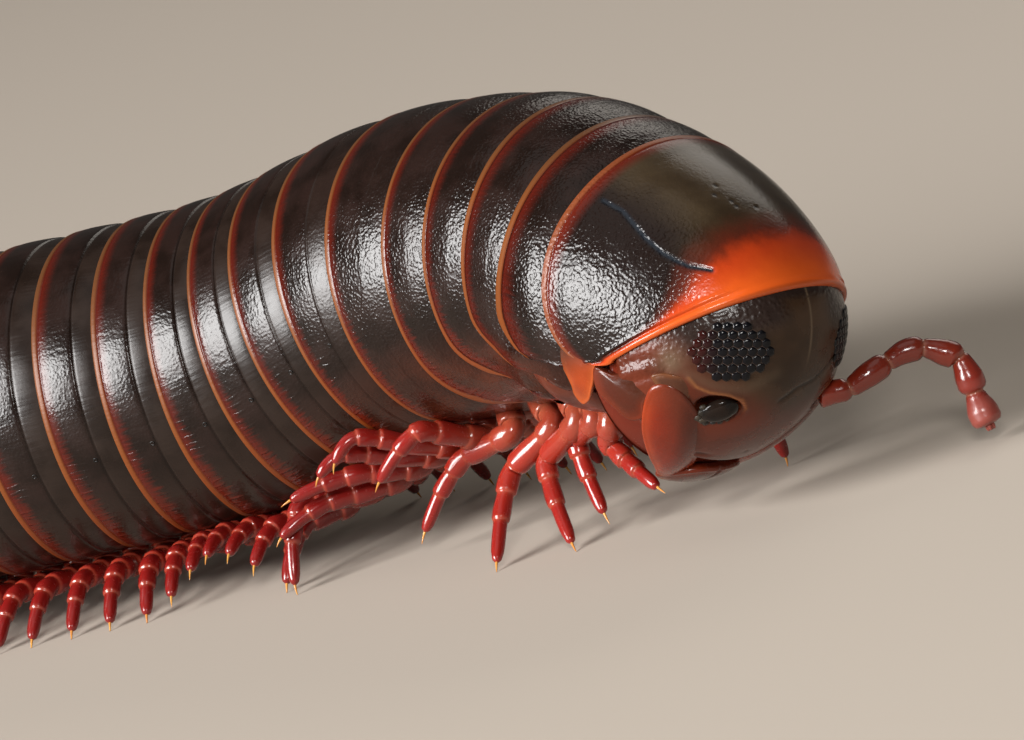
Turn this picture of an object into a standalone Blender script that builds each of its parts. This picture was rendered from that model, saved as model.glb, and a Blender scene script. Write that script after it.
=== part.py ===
"""Spirobolid millipede, a life-size standing model, as closed solids.

Metres, +Z up, head towards +X, feet on the plane Z = 0. Driving dimensions are in
millimetres and become metres where the meshes are made.
"""

import math

import bmesh
import bpy
import numpy as np
from mathutils import Vector

# Units and clearance
MM = 0.001
GAP = 0.1

# Collum hind edge: centre of the body there, in mm
NAPE = np.array([42.957, -5.658, 7.1])

# Body line: heading, climb and roll (right side up) in degrees at stations tailwards from the nape
LINE_STATIONS = (0.0, 4.0, 8.0, 13.0, 19.0, 26.0, 40.0, 60.0, 80.0, 100.0)
LINE_YAW = (-36.1, -36.2, -27.1, -15.9, -5.3, -5.0, 3.0, 0.0, -14.0, -20.0)
LINE_PITCH = (-24.0, -2.1, 3.2, 12.8, 1.2, 0.0, 0.0, 0.0, 0.0, 0.0)
LINE_ROLL = (15.0, 14.0, 11.0, 7.0, 3.0, 0.0, 0.0, 0.0, 0.0, 0.0)
LINE_STEP = 0.1

# Body radius at stations along the line
RADIUS_STATIONS = (0.0, 8.0, 20.0, 70.0, 80.0, 88.0, 95.0)
RADIUS_MM = (4.23, 4.86, 5.0, 5.0, 4.75, 4.1, 3.0)

# Rings: exposed lengths of the front ones, then an even pitch, then a slow shrink to the tail
RING_COUNT = 48
FRONT_RING_LENGTHS = (1.46, 1.56, 1.7, 2.06, 2.66, 2.36, 2.12, 2.16, 2.14, 2.06, 2.08, 2.2)
RING_PITCH = 2.08
SHRINKING_RINGS = 10
SHRINK_PER_RING = 0.066
RING_SIDES = 14
GROOVE_DEPTH = 0.035
GROOVE_LENGTH = 0.12

# Trunk lengths: last ring of each
TRUNK_LAST_RINGS = (5, 11, 17, 23, 29, 35, 41, 48)

# Head capsule: an egg, in the head's own axes of forward, right and up from the nape
HEAD_CENTRE = np.array([1.44, 0.0, -1.7])
HEAD_RADII = np.array([5.54, 4.04, 3.62])
HEAD_TURN = 35.2
HEAD_SEGMENTS = 20
HEAD_RINGS = 14

# Collum: a dome over the back of the head, cut along its front margin
DOME_CENTRE = np.array([-1.65, 0.0, -0.48])
DOME_RADII = np.array([8.4, 4.77, 4.58])
DOME_TURN = 1.7
MARGIN_POINT = np.array([6.0, 0.0, 2.0])
MARGIN_SLOPE = 45.0

# Hind corners of the collum, and the back of the head behind the mouthparts: sloping planes
CORNER_POINT = np.array([1.9, 0.0, -1.75])
CORNER_SLOPE = 34.0
CHIN_POINT = np.array([1.9, 0.0, -1.7])
CHIN_SLOPE = 25.7

# Lobes of the second ring, which fill the space under the collum's corners
LOBE_SCALE = 0.97
LOBE_START = -0.6
LOBE_TOP = 1.0
LOBE_BOTTOM = -3.2

# Pieces that lie on the head: centre, half sizes along and across, height
EYE_CENTRE = np.array([5.6, 2.18, -0.05])
EYE_SIZE = (0.8, 1.15, 0.1)
STIPES_CENTRE = np.array([3.9, 2.75, -3.0])
STIPES_SIZE = (1.65, 0.95, 0.45)
CHIN_PLATE_CENTRE = np.array([3.2, 0.0, -4.9])
CHIN_PLATE_SIZE = (1.15, 1.6, 0.25)
SOCKET_CENTRE = np.array([5.45, 2.05, -1.65])
STUMP_SIZE = (0.42, 0.42, 0.3)

# Left antenna: its route in the head's axes, and its thickness
ANTENNA_ROUTE = (
    (5.55, -2.3, -1.75), (5.75, -2.65, -1.6), (5.95, -3.05, -1.2), (6.1, -3.6, -0.8),
    (6.3, -4.0, -0.46), (6.6, -4.4, -0.28), (7.0, -4.8, -0.3), (7.35, -5.1, -0.38),
    (7.7, -5.25, -0.78), (7.95, -5.35, -1.2), (8.25, -5.45, -1.6), (8.58, -5.55, -1.98),
)
ANTENNA_RADIUS = 0.33
ANTENNA_SIDES = 6

# Legs: thickness from root to tip, and the shape of an arch
POSED_RADII = (0.40, 0.42, 0.36, 0.30)
POSED_FRACTIONS = (0.0, 0.36, 0.7, 1.0)
WAVE_RADII = (0.38, 0.38, 0.30)
WAVE_FRACTIONS = (0.0, 0.5, 1.0)
KNEE_FRACTION = 0.5
LEG_SIDES = 4
ROOT_LATERAL = 0.55
ROOT_DEPTH = 0.86
FIRST_RING_WITH_TWO_PAIRS = 6
LEGLESS_TAIL_RINGS = 3
LEG_PLACES_ON_RING = (0.27, 0.75)
SINGLE_LEG_PLACE = (0.5,)
WAVE_LEGS = 11
WAVE_SWING = 0.55
WAVE_LIFT = 1.5
KNEE_REACH = 2.9
KNEE_HEIGHT = 0.7
KNEE_SHARE_OF_BELLY = 0.55
KNEE_SHARE_OF_LIFT = 0.3
TIP_REACH = 5.2
TIP_TUCK_PER_BELLY = 0.35
STANDING_BELOW = 0.05

# Front legs of the right side: knee and tip as station, reach and height
POSED_LEGS = (
    ((2.2, 1.8, 2.2), (-0.2, 2.1, 1.25)),
    ((3.9, 2.0, 2.4), (2.5, 2.45, 0.5)),
    ((5.3, 2.6, 2.0), (3.0, 3.5, 0.0)),
    ((6.4, 3.2, 1.95), (5.0, 5.1, 0.0)),
    ((9.4, 2.7, 2.65), (10.7, 3.4, 0.6)),
    ((8.4, 4.1, 4.2), (10.3, 5.0, 2.75)),
    ((11.2, 4.5, 4.4), (12.0, 5.1, 3.5)),
    ((12.1, 4.4, 3.9), (13.0, 5.1, 3.2)),
    ((12.6, 3.3, 2.9), (15.0, 4.7, 2.7)),
    ((14.0, 3.6, 2.3), (15.6, 5.0, 1.6)),
    ((15.2, 3.7, 2.4), (15.3, 5.1, 0.0)),
)

# Tail: the last ring's hood and the two valves
TELSON_LENGTH = 1.5
TELSON_PROFILE = ((0.0, 0.95), (0.45, 0.93), (0.8, 0.84), (1.0, 0.74))
VALVE_LENGTH = 1.9
VALVE_SHARE_OF_RADIUS = 0.7
VALVE_SEGMENTS = 16

# Low plates on the head: share of the size where a plate's top starts, and its rim's height
PLATE_START = 0.25
PLATE_CROWN = 1.15

# Finishes: base colour, roughness
FINISHES = {
    "shell": ((0.018, 0.013, 0.011), 0.28),
    "collum": ((0.035, 0.016, 0.010), 0.24),
    "head": ((0.060, 0.020, 0.012), 0.30),
    "eye": ((0.004, 0.004, 0.005), 0.12),
    "mouthpart": ((0.360, 0.055, 0.022), 0.30),
    "feeler": ((0.230, 0.020, 0.016), 0.28),
    "scab": ((0.020, 0.010, 0.006), 0.25),
}


def smooth_curve(stations, values, at):
    """Value on a smooth curve through the given stations: cubic pieces with mean slopes."""
    x = np.asarray(stations, float)
    y = np.asarray(values, float)
    at = np.clip(np.asarray(at, float), x[0], x[-1])
    slope = np.gradient(y, x)
    i = np.clip(np.searchsorted(x, at, side="right") - 1, 0, len(x) - 2)
    width = x[i + 1] - x[i]
    t = (at - x[i]) / width
    rise = y[i] * (1 + 2 * t) * (1 - t) ** 2 + y[i + 1] * t ** 2 * (3 - 2 * t)
    bend = slope[i] * t * (1 - t) ** 2 - slope[i + 1] * t ** 2 * (1 - t)
    return rise + width * bend


def heading(at):
    """Unit vectors pointing headwards at stations along the body line."""
    yaw = np.radians(smooth_curve(LINE_STATIONS, LINE_YAW, at))
    pitch = np.radians(smooth_curve(LINE_STATIONS, LINE_PITCH, at))
    flat = np.cos(pitch)
    return np.stack([flat * np.cos(yaw), flat * np.sin(yaw), np.sin(pitch)], axis=-1)


LINE_S = np.arange(0.0, LINE_STATIONS[-1] + LINE_STEP, LINE_STEP)
LINE_STEPS = heading(LINE_S[:-1] + LINE_STEP / 2) * LINE_STEP
LINE_POINTS = NAPE - np.vstack([np.zeros(3), np.cumsum(LINE_STEPS, axis=0)])


def body_frame(station):
    """Centre, forward, left and up of the body at a station; ahead of the nape it is straight."""
    forward = heading(station)
    inside = max(station, 0.0)
    centre = np.array([np.interp(inside, LINE_S, LINE_POINTS[:, axis]) for axis in range(3)])
    centre = centre + forward * (inside - station)
    level = np.cross((0.0, 0.0, 1.0), forward)
    level = level / np.linalg.norm(level)
    roll = math.radians(float(smooth_curve(LINE_STATIONS, LINE_ROLL, station)))
    left = math.cos(roll) * level - math.sin(roll) * np.cross(forward, level)
    return centre, forward, left, np.cross(forward, left)


def ring_edges():
    """Stations of the rings' hind edges; entry 0 is the collum's."""
    tail = [RING_PITCH - SHRINK_PER_RING * (k + 1) for k in range(SHRINKING_RINGS)]
    even = RING_COUNT - 1 - len(FRONT_RING_LENGTHS) - SHRINKING_RINGS
    lengths = list(FRONT_RING_LENGTHS) + [RING_PITCH] * even + tail
    return np.concatenate([[0.0], np.cumsum(lengths)])


EDGES = ring_edges()


def cross_section(station, radius):
    """Points of a round section of the body, a flat side at the bottom."""
    centre, _, left, up = body_frame(station)
    turn = np.linspace(0.0, 2 * math.pi, RING_SIDES, endpoint=False)[:, None]
    return centre + radius * (np.cos(turn) * left + np.sin(turn) * up)


def body_radius(station):
    return float(smooth_curve(RADIUS_STATIONS, RADIUS_MM, station))


def head_axes():
    """Forward, right and up of the head, straight ahead of the nape."""
    _, forward, left, up = body_frame(0.0)
    return np.stack([forward, -left, up])


def from_head(points):
    """World places of points given forward, right and up of the nape."""
    return NAPE + np.asarray(points, float) @ head_axes()


def turned(degrees):
    """Axes of an egg whose long axis climbs from forward by the given angle."""
    c = math.cos(math.radians(degrees))
    s = math.sin(math.radians(degrees))
    return np.array([[c, 0.0, s], [0.0, 1.0, 0.0], [-s, 0.0, c]])


def finish(name):
    """The material of one finish."""
    known = bpy.data.materials.get(name)
    if known:
        return known
    colour, roughness = FINISHES[name]
    material = bpy.data.materials.new(name)
    material.use_nodes = True
    shader = material.node_tree.nodes["Principled BSDF"]
    shader.inputs["Base Color"].default_value = (*colour, 1.0)
    shader.inputs["Roughness"].default_value = roughness
    return material


def add_object(name, bm, finish_name, guide=False):
    """Turns a mesh in mm into an object in metres; a guide only shapes another object."""
    bm.normal_update()
    bmesh.ops.recalc_face_normals(bm, faces=bm.faces)
    bmesh.ops.scale(bm, vec=(MM, MM, MM), verts=bm.verts)
    mesh = bpy.data.meshes.new(name)
    bm.to_mesh(mesh)
    bm.free()
    mesh.materials.append(finish(finish_name))
    mesh.shade_smooth()
    mesh.set_sharp_from_angle(angle=math.radians(40))
    obj = bpy.data.objects.new(name, mesh)
    bpy.context.collection.objects.link(obj)
    if guide:
        obj.hide_render = True
        obj.display_type = "WIRE"
    return obj


def skin_loops(bm, loops):
    """Joins loops of equal length by quads and closes both ends."""
    rows = [[bm.verts.new(point) for point in loop] for loop in loops]
    count = len(rows[0])
    for near, far in zip(rows, rows[1:]):
        for i in range(count):
            j = (i + 1) % count
            bm.faces.new((near[i], near[j], far[j], far[i]))
    bm.faces.new(rows[0][::-1])
    bm.faces.new(rows[-1])


def leg_curve(root, knee, tip, fractions):
    """Points on the parabola through root, knee and tip."""
    u = np.asarray(fractions)[:, None]
    k = KNEE_FRACTION
    at_root = (u - k) * (u - 1) / k
    at_knee = u * (u - 1) / (k * (k - 1))
    at_tip = u * (u - k) / (1 - k)
    return at_root * root + at_knee * knee + at_tip * tip


def add_leg(bm, root, knee, tip, fractions=WAVE_FRACTIONS, radii=WAVE_RADII):
    """One leg as a closed tube along its arch; a standing leg ends in a flat on the ground."""
    across = np.cross(knee - root, tip - knee)
    across = across / np.linalg.norm(across)
    centres = leg_curve(root, knee, tip, fractions)
    tangents = np.gradient(centres, axis=0)
    loops = []
    for centre, tangent, radius in zip(centres, tangents, radii):
        side = np.cross(across, tangent)
        side = side / np.linalg.norm(side)
        turn = np.linspace(0.0, 2 * math.pi, LEG_SIDES, endpoint=False)[:, None]
        loops.append(centre + radius * (np.cos(turn) * across + np.sin(turn) * side))
    if tip[2] < STANDING_BELOW:
        loops[-1][:, 2] = 0.0
    skin_loops(bm, loops)


def beside(station, reach, height, side):
    """A point beside the body line: side is 1 for left and -1 for right."""
    centre, forward, _, _ = body_frame(station)
    level = np.array([-forward[1], forward[0], 0.0])
    level = level / np.linalg.norm(level)
    return np.array([*(centre + side * reach * level)[:2], height])


def wave_leg(station, count, side, lift):
    """Root, knee and tip of a leg in the walking wave, arched less where the belly is low."""
    centre, _, left, up = body_frame(station)
    radius = body_radius(station)
    root = centre - up * radius * ROOT_DEPTH + left * side * ROOT_LATERAL
    belly = (centre - up * radius)[2]
    phase = 2 * math.pi * count / WAVE_LEGS
    swing = WAVE_SWING * math.cos(phase)
    raised = max(0.0, math.sin(phase)) * lift
    size = min(1.0, radius / RADIUS_MM[2])
    height = KNEE_HEIGHT + KNEE_SHARE_OF_BELLY * belly + KNEE_SHARE_OF_LIFT * raised
    knee = beside(station + swing / 2, KNEE_REACH * size, height, side)
    tip = beside(station + swing, (TIP_REACH - TIP_TUCK_PER_BELLY * belly) * size, raised, side)
    return root, knee, tip


def leg_stations():
    """Ring number and station of every leg pair, front to back."""
    pairs = []
    for ring in range(2, RING_COUNT - LEGLESS_TAIL_RINGS + 1):
        front, back = EDGES[ring - 2], EDGES[ring - 1]
        places = LEG_PLACES_ON_RING if ring >= FIRST_RING_WITH_TWO_PAIRS else SINGLE_LEG_PLACE
        pairs.extend((ring, front + (back - front) * place) for place in places)
    return pairs


def add_legs(bm, first_ring, last_ring):
    """All legs of the rings of one trunk length."""
    for count, (ring, station) in enumerate(leg_stations()):
        if not first_ring <= ring <= last_ring:
            continue
        add_leg(bm, *wave_leg(station, count, 1, WAVE_LIFT))
        root, knee, tip = wave_leg(station, count, -1, WAVE_LIFT)
        if count >= len(POSED_LEGS):
            add_leg(bm, root, knee, tip)
            continue
        knee = beside(*POSED_LEGS[count][0], -1)
        tip = beside(*POSED_LEGS[count][1], -1)
        add_leg(bm, root, knee, tip, POSED_FRACTIONS, POSED_RADII)


def add_lobes(bm):
    """The second ring's lobes: a slice of the dome between the collum's corners and the cheeks."""
    lobes = egg(DOME_CENTRE, DOME_RADII * LOBE_SCALE, DOME_TURN, HEAD_SEGMENTS, HEAD_RINGS)
    corner = backward_normal(CORNER_SLOPE)
    chin = backward_normal(CHIN_SLOPE)
    cut(lobes, CORNER_POINT + corner * GAP, -corner)
    cut(lobes, CHIN_POINT + chin * GAP, -chin)
    cut(lobes, np.array([LOBE_START, 0.0, 0.0]), (-1.0, 0.0, 0.0))
    cut(lobes, np.array([0.0, 0.0, LOBE_TOP]), (0.0, 0.0, 1.0))
    cut(lobes, np.array([0.0, 0.0, LOBE_BOTTOM]), (0.0, 0.0, -1.0))
    place_in_world(lobes)
    lobes.normal_update()
    bmesh.ops.recalc_face_normals(lobes, faces=lobes.faces)
    shape = bpy.data.meshes.new("lobes")
    lobes.to_mesh(shape)
    lobes.free()
    bm.from_mesh(shape)
    bpy.data.meshes.remove(shape)


def add_trunk_length(number, first_ring, last_ring):
    """A stretch of rings, each stepping down into a groove behind the one in front."""
    bm = bmesh.new()
    loops = []
    for ring in range(first_ring, last_ring + 1):
        front, back = EDGES[ring - 2], EDGES[ring - 1]
        start = front + (GAP / 2 if ring == first_ring else GROOVE_LENGTH)
        stop = back - (GAP / 2 if ring == last_ring else 0.0)
        loops.append(cross_section(start, body_radius(front) * (1 - GROOVE_DEPTH)))
        loops.append(cross_section(stop, body_radius(back)))
    skin_loops(bm, loops)
    trunk = add_object(f"trunk_{number}", bm, "shell")
    legs = bmesh.new()
    if number == 1:
        add_lobes(legs)
    add_legs(legs, first_ring, last_ring)
    guide = add_object(f"trunk_{number}_leg_shapes", legs, "feeler", guide=True)
    union = trunk.modifiers.new("legs", "BOOLEAN")
    union.operation = "UNION"
    union.object = guide
    union.use_self = True


def egg(centre, radii, turn, segments, rings):
    """Mesh of an egg in the head's axes."""
    bm = bmesh.new()
    bmesh.ops.create_uvsphere(bm, u_segments=segments, v_segments=rings, radius=1.0)
    axes = turned(turn)
    for vert in bm.verts:
        # the poles lie along the long axis
        place = np.array([vert.co.z, vert.co.y, vert.co.x]) * radii
        vert.co = Vector(centre + place @ axes)
    return bm


def cut(bm, point, normal):
    """Removes what lies on the normal's side of a plane and closes the cut."""
    geometry = bm.verts[:] + bm.edges[:] + bm.faces[:]
    result = bmesh.ops.bisect_plane(
        bm, geom=geometry, plane_co=point, plane_no=normal, clear_outer=True)
    rim = [item for item in result["geom_cut"] if isinstance(item, bmesh.types.BMEdge)]
    bmesh.ops.contextual_create(bm, geom=rim)


def place_in_world(bm):
    """Moves a mesh from the head's axes to the world."""
    for vert in bm.verts:
        vert.co = Vector(from_head(vert.co))


def sloped_normal(degrees):
    """Upward normal of a plane that climbs forwards by the given angle."""
    angle = math.radians(degrees)
    return np.array([-math.sin(angle), 0.0, math.cos(angle)])


def backward_normal(degrees):
    """Normal of a plane that faces backwards and down by the given angle."""
    angle = math.radians(degrees)
    return np.array([-math.cos(angle), 0.0, -math.sin(angle)])


def add_head():
    """The head capsule below the collum's front margin, cut off behind the mouthparts."""
    bm = egg(HEAD_CENTRE, HEAD_RADII, HEAD_TURN, HEAD_SEGMENTS, HEAD_RINGS)
    above = sloped_normal(MARGIN_SLOPE)
    cut(bm, MARGIN_POINT - above * GAP / 2, above)
    cut(bm, CHIN_POINT, backward_normal(CHIN_SLOPE))
    place_in_world(bm)
    return add_object("head", bm, "head")


def add_collum():
    """The dome behind the front margin, ending at the nape."""
    bm = egg(DOME_CENTRE, DOME_RADII, DOME_TURN, HEAD_SEGMENTS, HEAD_RINGS)
    above = sloped_normal(MARGIN_SLOPE)
    cut(bm, MARGIN_POINT + above * GAP / 2, -above)
    cut(bm, np.array([GAP / 2, 0.0, 0.0]), (-1.0, 0.0, 0.0))
    cut(bm, CORNER_POINT, backward_normal(CORNER_SLOPE))
    place_in_world(bm)
    return add_object("collum", bm, "collum")


def on_head(points, height):
    """Points moved onto the head's egg and out from it by a height."""
    axes = turned(HEAD_TURN)
    local = (points - HEAD_CENTRE) @ axes.T
    local = local / np.linalg.norm(local / HEAD_RADII, axis=1, keepdims=True)
    normal = local / HEAD_RADII ** 2
    normal = normal / np.linalg.norm(normal, axis=1, keepdims=True)
    return HEAD_CENTRE + (local + normal * height) @ axes


def add_cap(name, centre, size, finish_name, rings=2, segments=10):
    """A low rounded plate that lies on the head, its height falling to the rim as a dome."""
    length, width, height = size
    axes = turned(HEAD_TURN)
    normal = ((centre - HEAD_CENTRE) @ axes.T / HEAD_RADII ** 2) @ axes
    normal = normal / np.linalg.norm(normal)
    across = np.cross(normal, (0.0, 0.0, 1.0))
    across = across / np.linalg.norm(across)
    along = np.cross(normal, across)
    turn = np.linspace(0.0, 2 * math.pi, segments, endpoint=False)[:, None]
    spread = length * np.cos(turn) * along + width * np.sin(turn) * across
    loops = []
    for share in np.linspace(PLATE_START, 1.0, rings):
        loops.append(on_head(centre + spread * share, GAP))
    for share in np.linspace(1.0, PLATE_START, rings):
        loops.append(on_head(centre + spread * share, GAP + height * (PLATE_CROWN - share ** 2)))
    bm = bmesh.new()
    skin_loops(bm, loops)
    place_in_world(bm)
    return add_object(name, bm, finish_name)


def mirrored(point):
    return point * np.array([1.0, -1.0, 1.0])


def add_antenna():
    """The left antenna as one tube along its route."""
    route = from_head(ANTENNA_ROUTE)
    tangents = np.gradient(route, axis=0)
    _, _, left, up = body_frame(0.0)
    across = left
    turn = np.linspace(0.0, 2 * math.pi, ANTENNA_SIDES, endpoint=False)[:, None]
    loops = []
    for centre, tangent in zip(route, tangents):
        tangent = tangent / np.linalg.norm(tangent)
        across = across - tangent * (across @ tangent)
        across = across / np.linalg.norm(across)
        side = np.cross(tangent, across)
        loops.append(centre + ANTENNA_RADIUS * (np.cos(turn) * across + np.sin(turn) * side))
    bm = bmesh.new()
    skin_loops(bm, loops)
    return add_object("antenna_left", bm, "feeler")


def add_tail():
    """The hood behind the last ring and the two rounded valves that close the body."""
    start = EDGES[-1] + GAP / 2
    radius = body_radius(EDGES[-1])
    bm = bmesh.new()
    skin_loops(bm, [
        cross_section(start + TELSON_LENGTH * along, radius * share)
        for along, share in TELSON_PROFILE])
    add_object("preanal_ring", bm, "shell")
    centre, forward, left, up = body_frame(start + TELSON_LENGTH + GAP)
    height = radius * VALVE_SHARE_OF_RADIUS
    for side, name in ((1, "anal_valve_left"), (-1, "anal_valve_right")):
        valve = bmesh.new()
        bmesh.ops.create_uvsphere(
            valve, u_segments=VALVE_SEGMENTS, v_segments=VALVE_SEGMENTS // 2, radius=1.0)
        for vert in valve.verts:
            place = vert.co.x * forward * VALVE_LENGTH + vert.co.y * left * height
            vert.co = Vector(centre + place + vert.co.z * up * height)
        cut(valve, centre, forward)
        cut(valve, centre + left * side * GAP / 2, -left * side)
        add_object(name, valve, "shell")


def build():
    for obj in list(bpy.data.objects):
        bpy.data.objects.remove(obj, do_unlink=True)
    add_head()
    add_collum()
    for side, word in ((1, "right"), (-1, "left")):
        flip = mirrored if side < 0 else np.array
        add_cap(f"eye_{word}", flip(EYE_CENTRE), EYE_SIZE, "eye")
        add_cap(f"mandible_{word}", flip(STIPES_CENTRE), STIPES_SIZE, "mouthpart")
    add_cap("gnathochilarium", CHIN_PLATE_CENTRE, CHIN_PLATE_SIZE, "mouthpart")
    add_cap("antenna_stump_right", SOCKET_CENTRE, STUMP_SIZE, "scab")
    add_antenna()
    first = 2
    for number, last in enumerate(TRUNK_LAST_RINGS, start=1):
        add_trunk_length(number, first, last)
        first = last + 1
    add_tail()


build()
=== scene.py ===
"""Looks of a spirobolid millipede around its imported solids.

Sizes are in millimetres and become metres where the meshes are made. Places on the head and
the collum are forward, right and up of the nape, the middle of the collum's hind edge.
"""

import math

import bpy
import numpy as np
from mathutils import Matrix


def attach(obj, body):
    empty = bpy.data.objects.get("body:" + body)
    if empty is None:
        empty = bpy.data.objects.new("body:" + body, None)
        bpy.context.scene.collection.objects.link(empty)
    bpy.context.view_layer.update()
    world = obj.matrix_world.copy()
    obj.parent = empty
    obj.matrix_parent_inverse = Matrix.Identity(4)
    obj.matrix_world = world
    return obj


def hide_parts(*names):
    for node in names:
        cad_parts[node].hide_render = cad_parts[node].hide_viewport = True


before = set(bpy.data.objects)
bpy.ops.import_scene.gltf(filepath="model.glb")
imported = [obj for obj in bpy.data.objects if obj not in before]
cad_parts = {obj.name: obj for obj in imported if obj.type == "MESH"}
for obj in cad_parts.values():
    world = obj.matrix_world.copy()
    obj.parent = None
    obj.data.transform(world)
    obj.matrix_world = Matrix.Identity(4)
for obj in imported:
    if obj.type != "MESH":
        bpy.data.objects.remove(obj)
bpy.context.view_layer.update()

MM = 0.001

# Body line: heading, climb and roll (right side up) in degrees at stations tailwards from the nape
NAPE = np.array([42.957, -5.658, 7.1])
LINE_STATIONS = (0.0, 4.0, 8.0, 13.0, 19.0, 26.0, 40.0, 60.0, 80.0, 100.0)
LINE_YAW = (-36.1, -36.2, -27.1, -15.9, -5.3, -5.0, 3.0, 0.0, -14.0, -20.0)
LINE_PITCH = (-24.0, -2.1, 3.2, 12.8, 1.2, 0.0, 0.0, 0.0, 0.0, 0.0)
LINE_ROLL = (15.0, 14.0, 11.0, 7.0, 3.0, 0.0, 0.0, 0.0, 0.0, 0.0)
LINE_STEP = 0.1

# Body radius at stations along the line
RADIUS_STATIONS = (0.0, 8.0, 20.0, 70.0, 80.0, 88.0, 95.0)
RADIUS_MM = (4.23, 4.86, 5.0, 5.0, 4.75, 4.1, 3.0)

# Rings: exposed lengths of the front ones, then an even pitch, then a slow shrink to the tail
RING_COUNT = 48
FRONT_RING_LENGTHS = (1.46, 1.56, 1.7, 2.06, 2.66, 2.36, 2.12, 2.16, 2.14, 2.06, 2.08, 2.2)
RING_PITCH = 2.08
SHRINKING_RINGS = 10
SHRINK_PER_RING = 0.066
TRUNK_LAST_RINGS = (5, 11, 17, 23, 29, 35, 41, 48)
RING_COLUMNS = 144
RIDGE_PITCH = 0.25

# Egg of the head and dome of the collum: centre, half axes, climb of the long axis in degrees
HEAD_CENTRE = np.array([1.44, 0.0, -1.7])
HEAD_RADII = np.array([5.54, 4.04, 3.62])
HEAD_TURN = 35.2
DOME_CENTRE = np.array([-1.65, 0.0, -0.48])
DOME_RADII = np.array([8.4, 4.77, 4.58])
DOME_TURN = 1.7
MARGIN_POINT = np.array([6.0, 0.0, 2.0])
MARGIN_SLOPE = 45.0
CHIN_POINT = np.array([1.9, 0.0, -1.7])
CHIN_SLOPE = 25.7


# Curves and the body line

def smooth_curve(stations, values, at):
    """Value on a smooth curve through the given stations: cubic pieces with mean slopes."""
    x = np.asarray(stations, float)
    y = np.asarray(values, float)
    at = np.clip(np.asarray(at, float), x[0], x[-1])
    slope = np.gradient(y, x)
    i = np.clip(np.searchsorted(x, at, side="right") - 1, 0, len(x) - 2)
    width = x[i + 1] - x[i]
    t = (at - x[i]) / width
    rise = y[i] * (1 + 2 * t) * (1 - t) ** 2 + y[i + 1] * t ** 2 * (3 - 2 * t)
    bend = slope[i] * t * (1 - t) ** 2 - slope[i + 1] * t ** 2 * (1 - t)
    return rise + width * bend


def ramp(value, low, high):
    """Smooth step: 0 below low, 1 above high, an S between."""
    t = np.clip((value - low) / (high - low), 0.0, 1.0)
    return t * t * (3.0 - 2.0 * t)


def bell(value, width):
    """Bell curve: 1 at zero, falling over the width."""
    return np.exp(-(value / width) ** 2)


def circle(count):
    """Even angles round a full turn."""
    return np.linspace(0.0, 2 * math.pi, count, endpoint=False)


def unit(vectors):
    return vectors / np.linalg.norm(vectors, axis=-1, keepdims=True)


def heading(at):
    """Unit vectors pointing headwards at stations along the body line."""
    yaw = np.radians(smooth_curve(LINE_STATIONS, LINE_YAW, at))
    pitch = np.radians(smooth_curve(LINE_STATIONS, LINE_PITCH, at))
    flat = np.cos(pitch)
    return np.stack([flat * np.cos(yaw), flat * np.sin(yaw), np.sin(pitch)], axis=-1)


LINE_S = np.arange(0.0, LINE_STATIONS[-1] + LINE_STEP, LINE_STEP)
LINE_STEPS = heading(LINE_S[:-1] + LINE_STEP / 2) * LINE_STEP
LINE_POINTS = NAPE - np.vstack([np.zeros(3), np.cumsum(LINE_STEPS, axis=0)])


def body_frames(stations):
    """Centres, forward, left and up at stations; ahead of the nape the line is straight."""
    s = np.asarray(stations, float)
    forward = heading(s)
    inside = np.maximum(s, 0.0)
    centre = np.stack([np.interp(inside, LINE_S, LINE_POINTS[:, axis]) for axis in range(3)], axis=-1)
    centre = centre + forward * (inside - s)[..., None]
    level = unit(np.cross((0.0, 0.0, 1.0), forward))
    roll = np.radians(smooth_curve(LINE_STATIONS, LINE_ROLL, s))[..., None]
    left = np.cos(roll) * level - np.sin(roll) * np.cross(forward, level)
    return centre, forward, left, np.cross(forward, left)


def body_radius(stations):
    return smooth_curve(RADIUS_STATIONS, RADIUS_MM, stations)


def ring_edges():
    """Stations of the rings' hind edges; entry 0 is the collum's."""
    tail = [RING_PITCH - SHRINK_PER_RING * (k + 1) for k in range(SHRINKING_RINGS)]
    even = RING_COUNT - 1 - len(FRONT_RING_LENGTHS) - SHRINKING_RINGS
    lengths = list(FRONT_RING_LENGTHS) + [RING_PITCH] * even + tail
    return np.concatenate([[0.0], np.cumsum(lengths)])


EDGES = ring_edges()
_, FORWARD, LEFT, UP = body_frames(0.0)
HEAD_AXES = np.stack([FORWARD, -LEFT, UP])


def from_head(points):
    """World places of points given forward, right and up of the nape."""
    return NAPE + np.asarray(points, float) @ HEAD_AXES


def turned(degrees):
    """Axes of an egg whose long axis climbs from forward by the given angle."""
    c = math.cos(math.radians(degrees))
    s = math.sin(math.radians(degrees))
    return np.array([[c, 0.0, s], [0.0, 1.0, 0.0], [-s, 0.0, c]])


def on_egg(points, height, centre, radii, turn):
    """Points carried from the egg's centre onto its surface, then out along its normal."""
    axes = turned(turn)
    local = (np.asarray(points, float) - centre) @ axes.T
    local = local / np.linalg.norm(local / radii, axis=-1, keepdims=True)
    return centre + (local + unit(local / radii ** 2) * np.asarray(height)[..., None]) @ axes


def on_head(points, height=0.0):
    return on_egg(points, height, HEAD_CENTRE, HEAD_RADII, HEAD_TURN)


def head_normal(place):
    """Outward unit normal at a place on the head's egg."""
    axes = turned(HEAD_TURN)
    return unit(((place - HEAD_CENTRE) @ axes.T / HEAD_RADII ** 2) @ axes)


def on_dome(points, height=0.0):
    return on_egg(points, height, DOME_CENTRE, DOME_RADII, DOME_TURN)


def smooth_path(stations, corners, at):
    """Places on a smooth curve through corner points."""
    return np.stack([smooth_curve(stations, corners[:, axis], at) for axis in range(3)], axis=-1)


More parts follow.
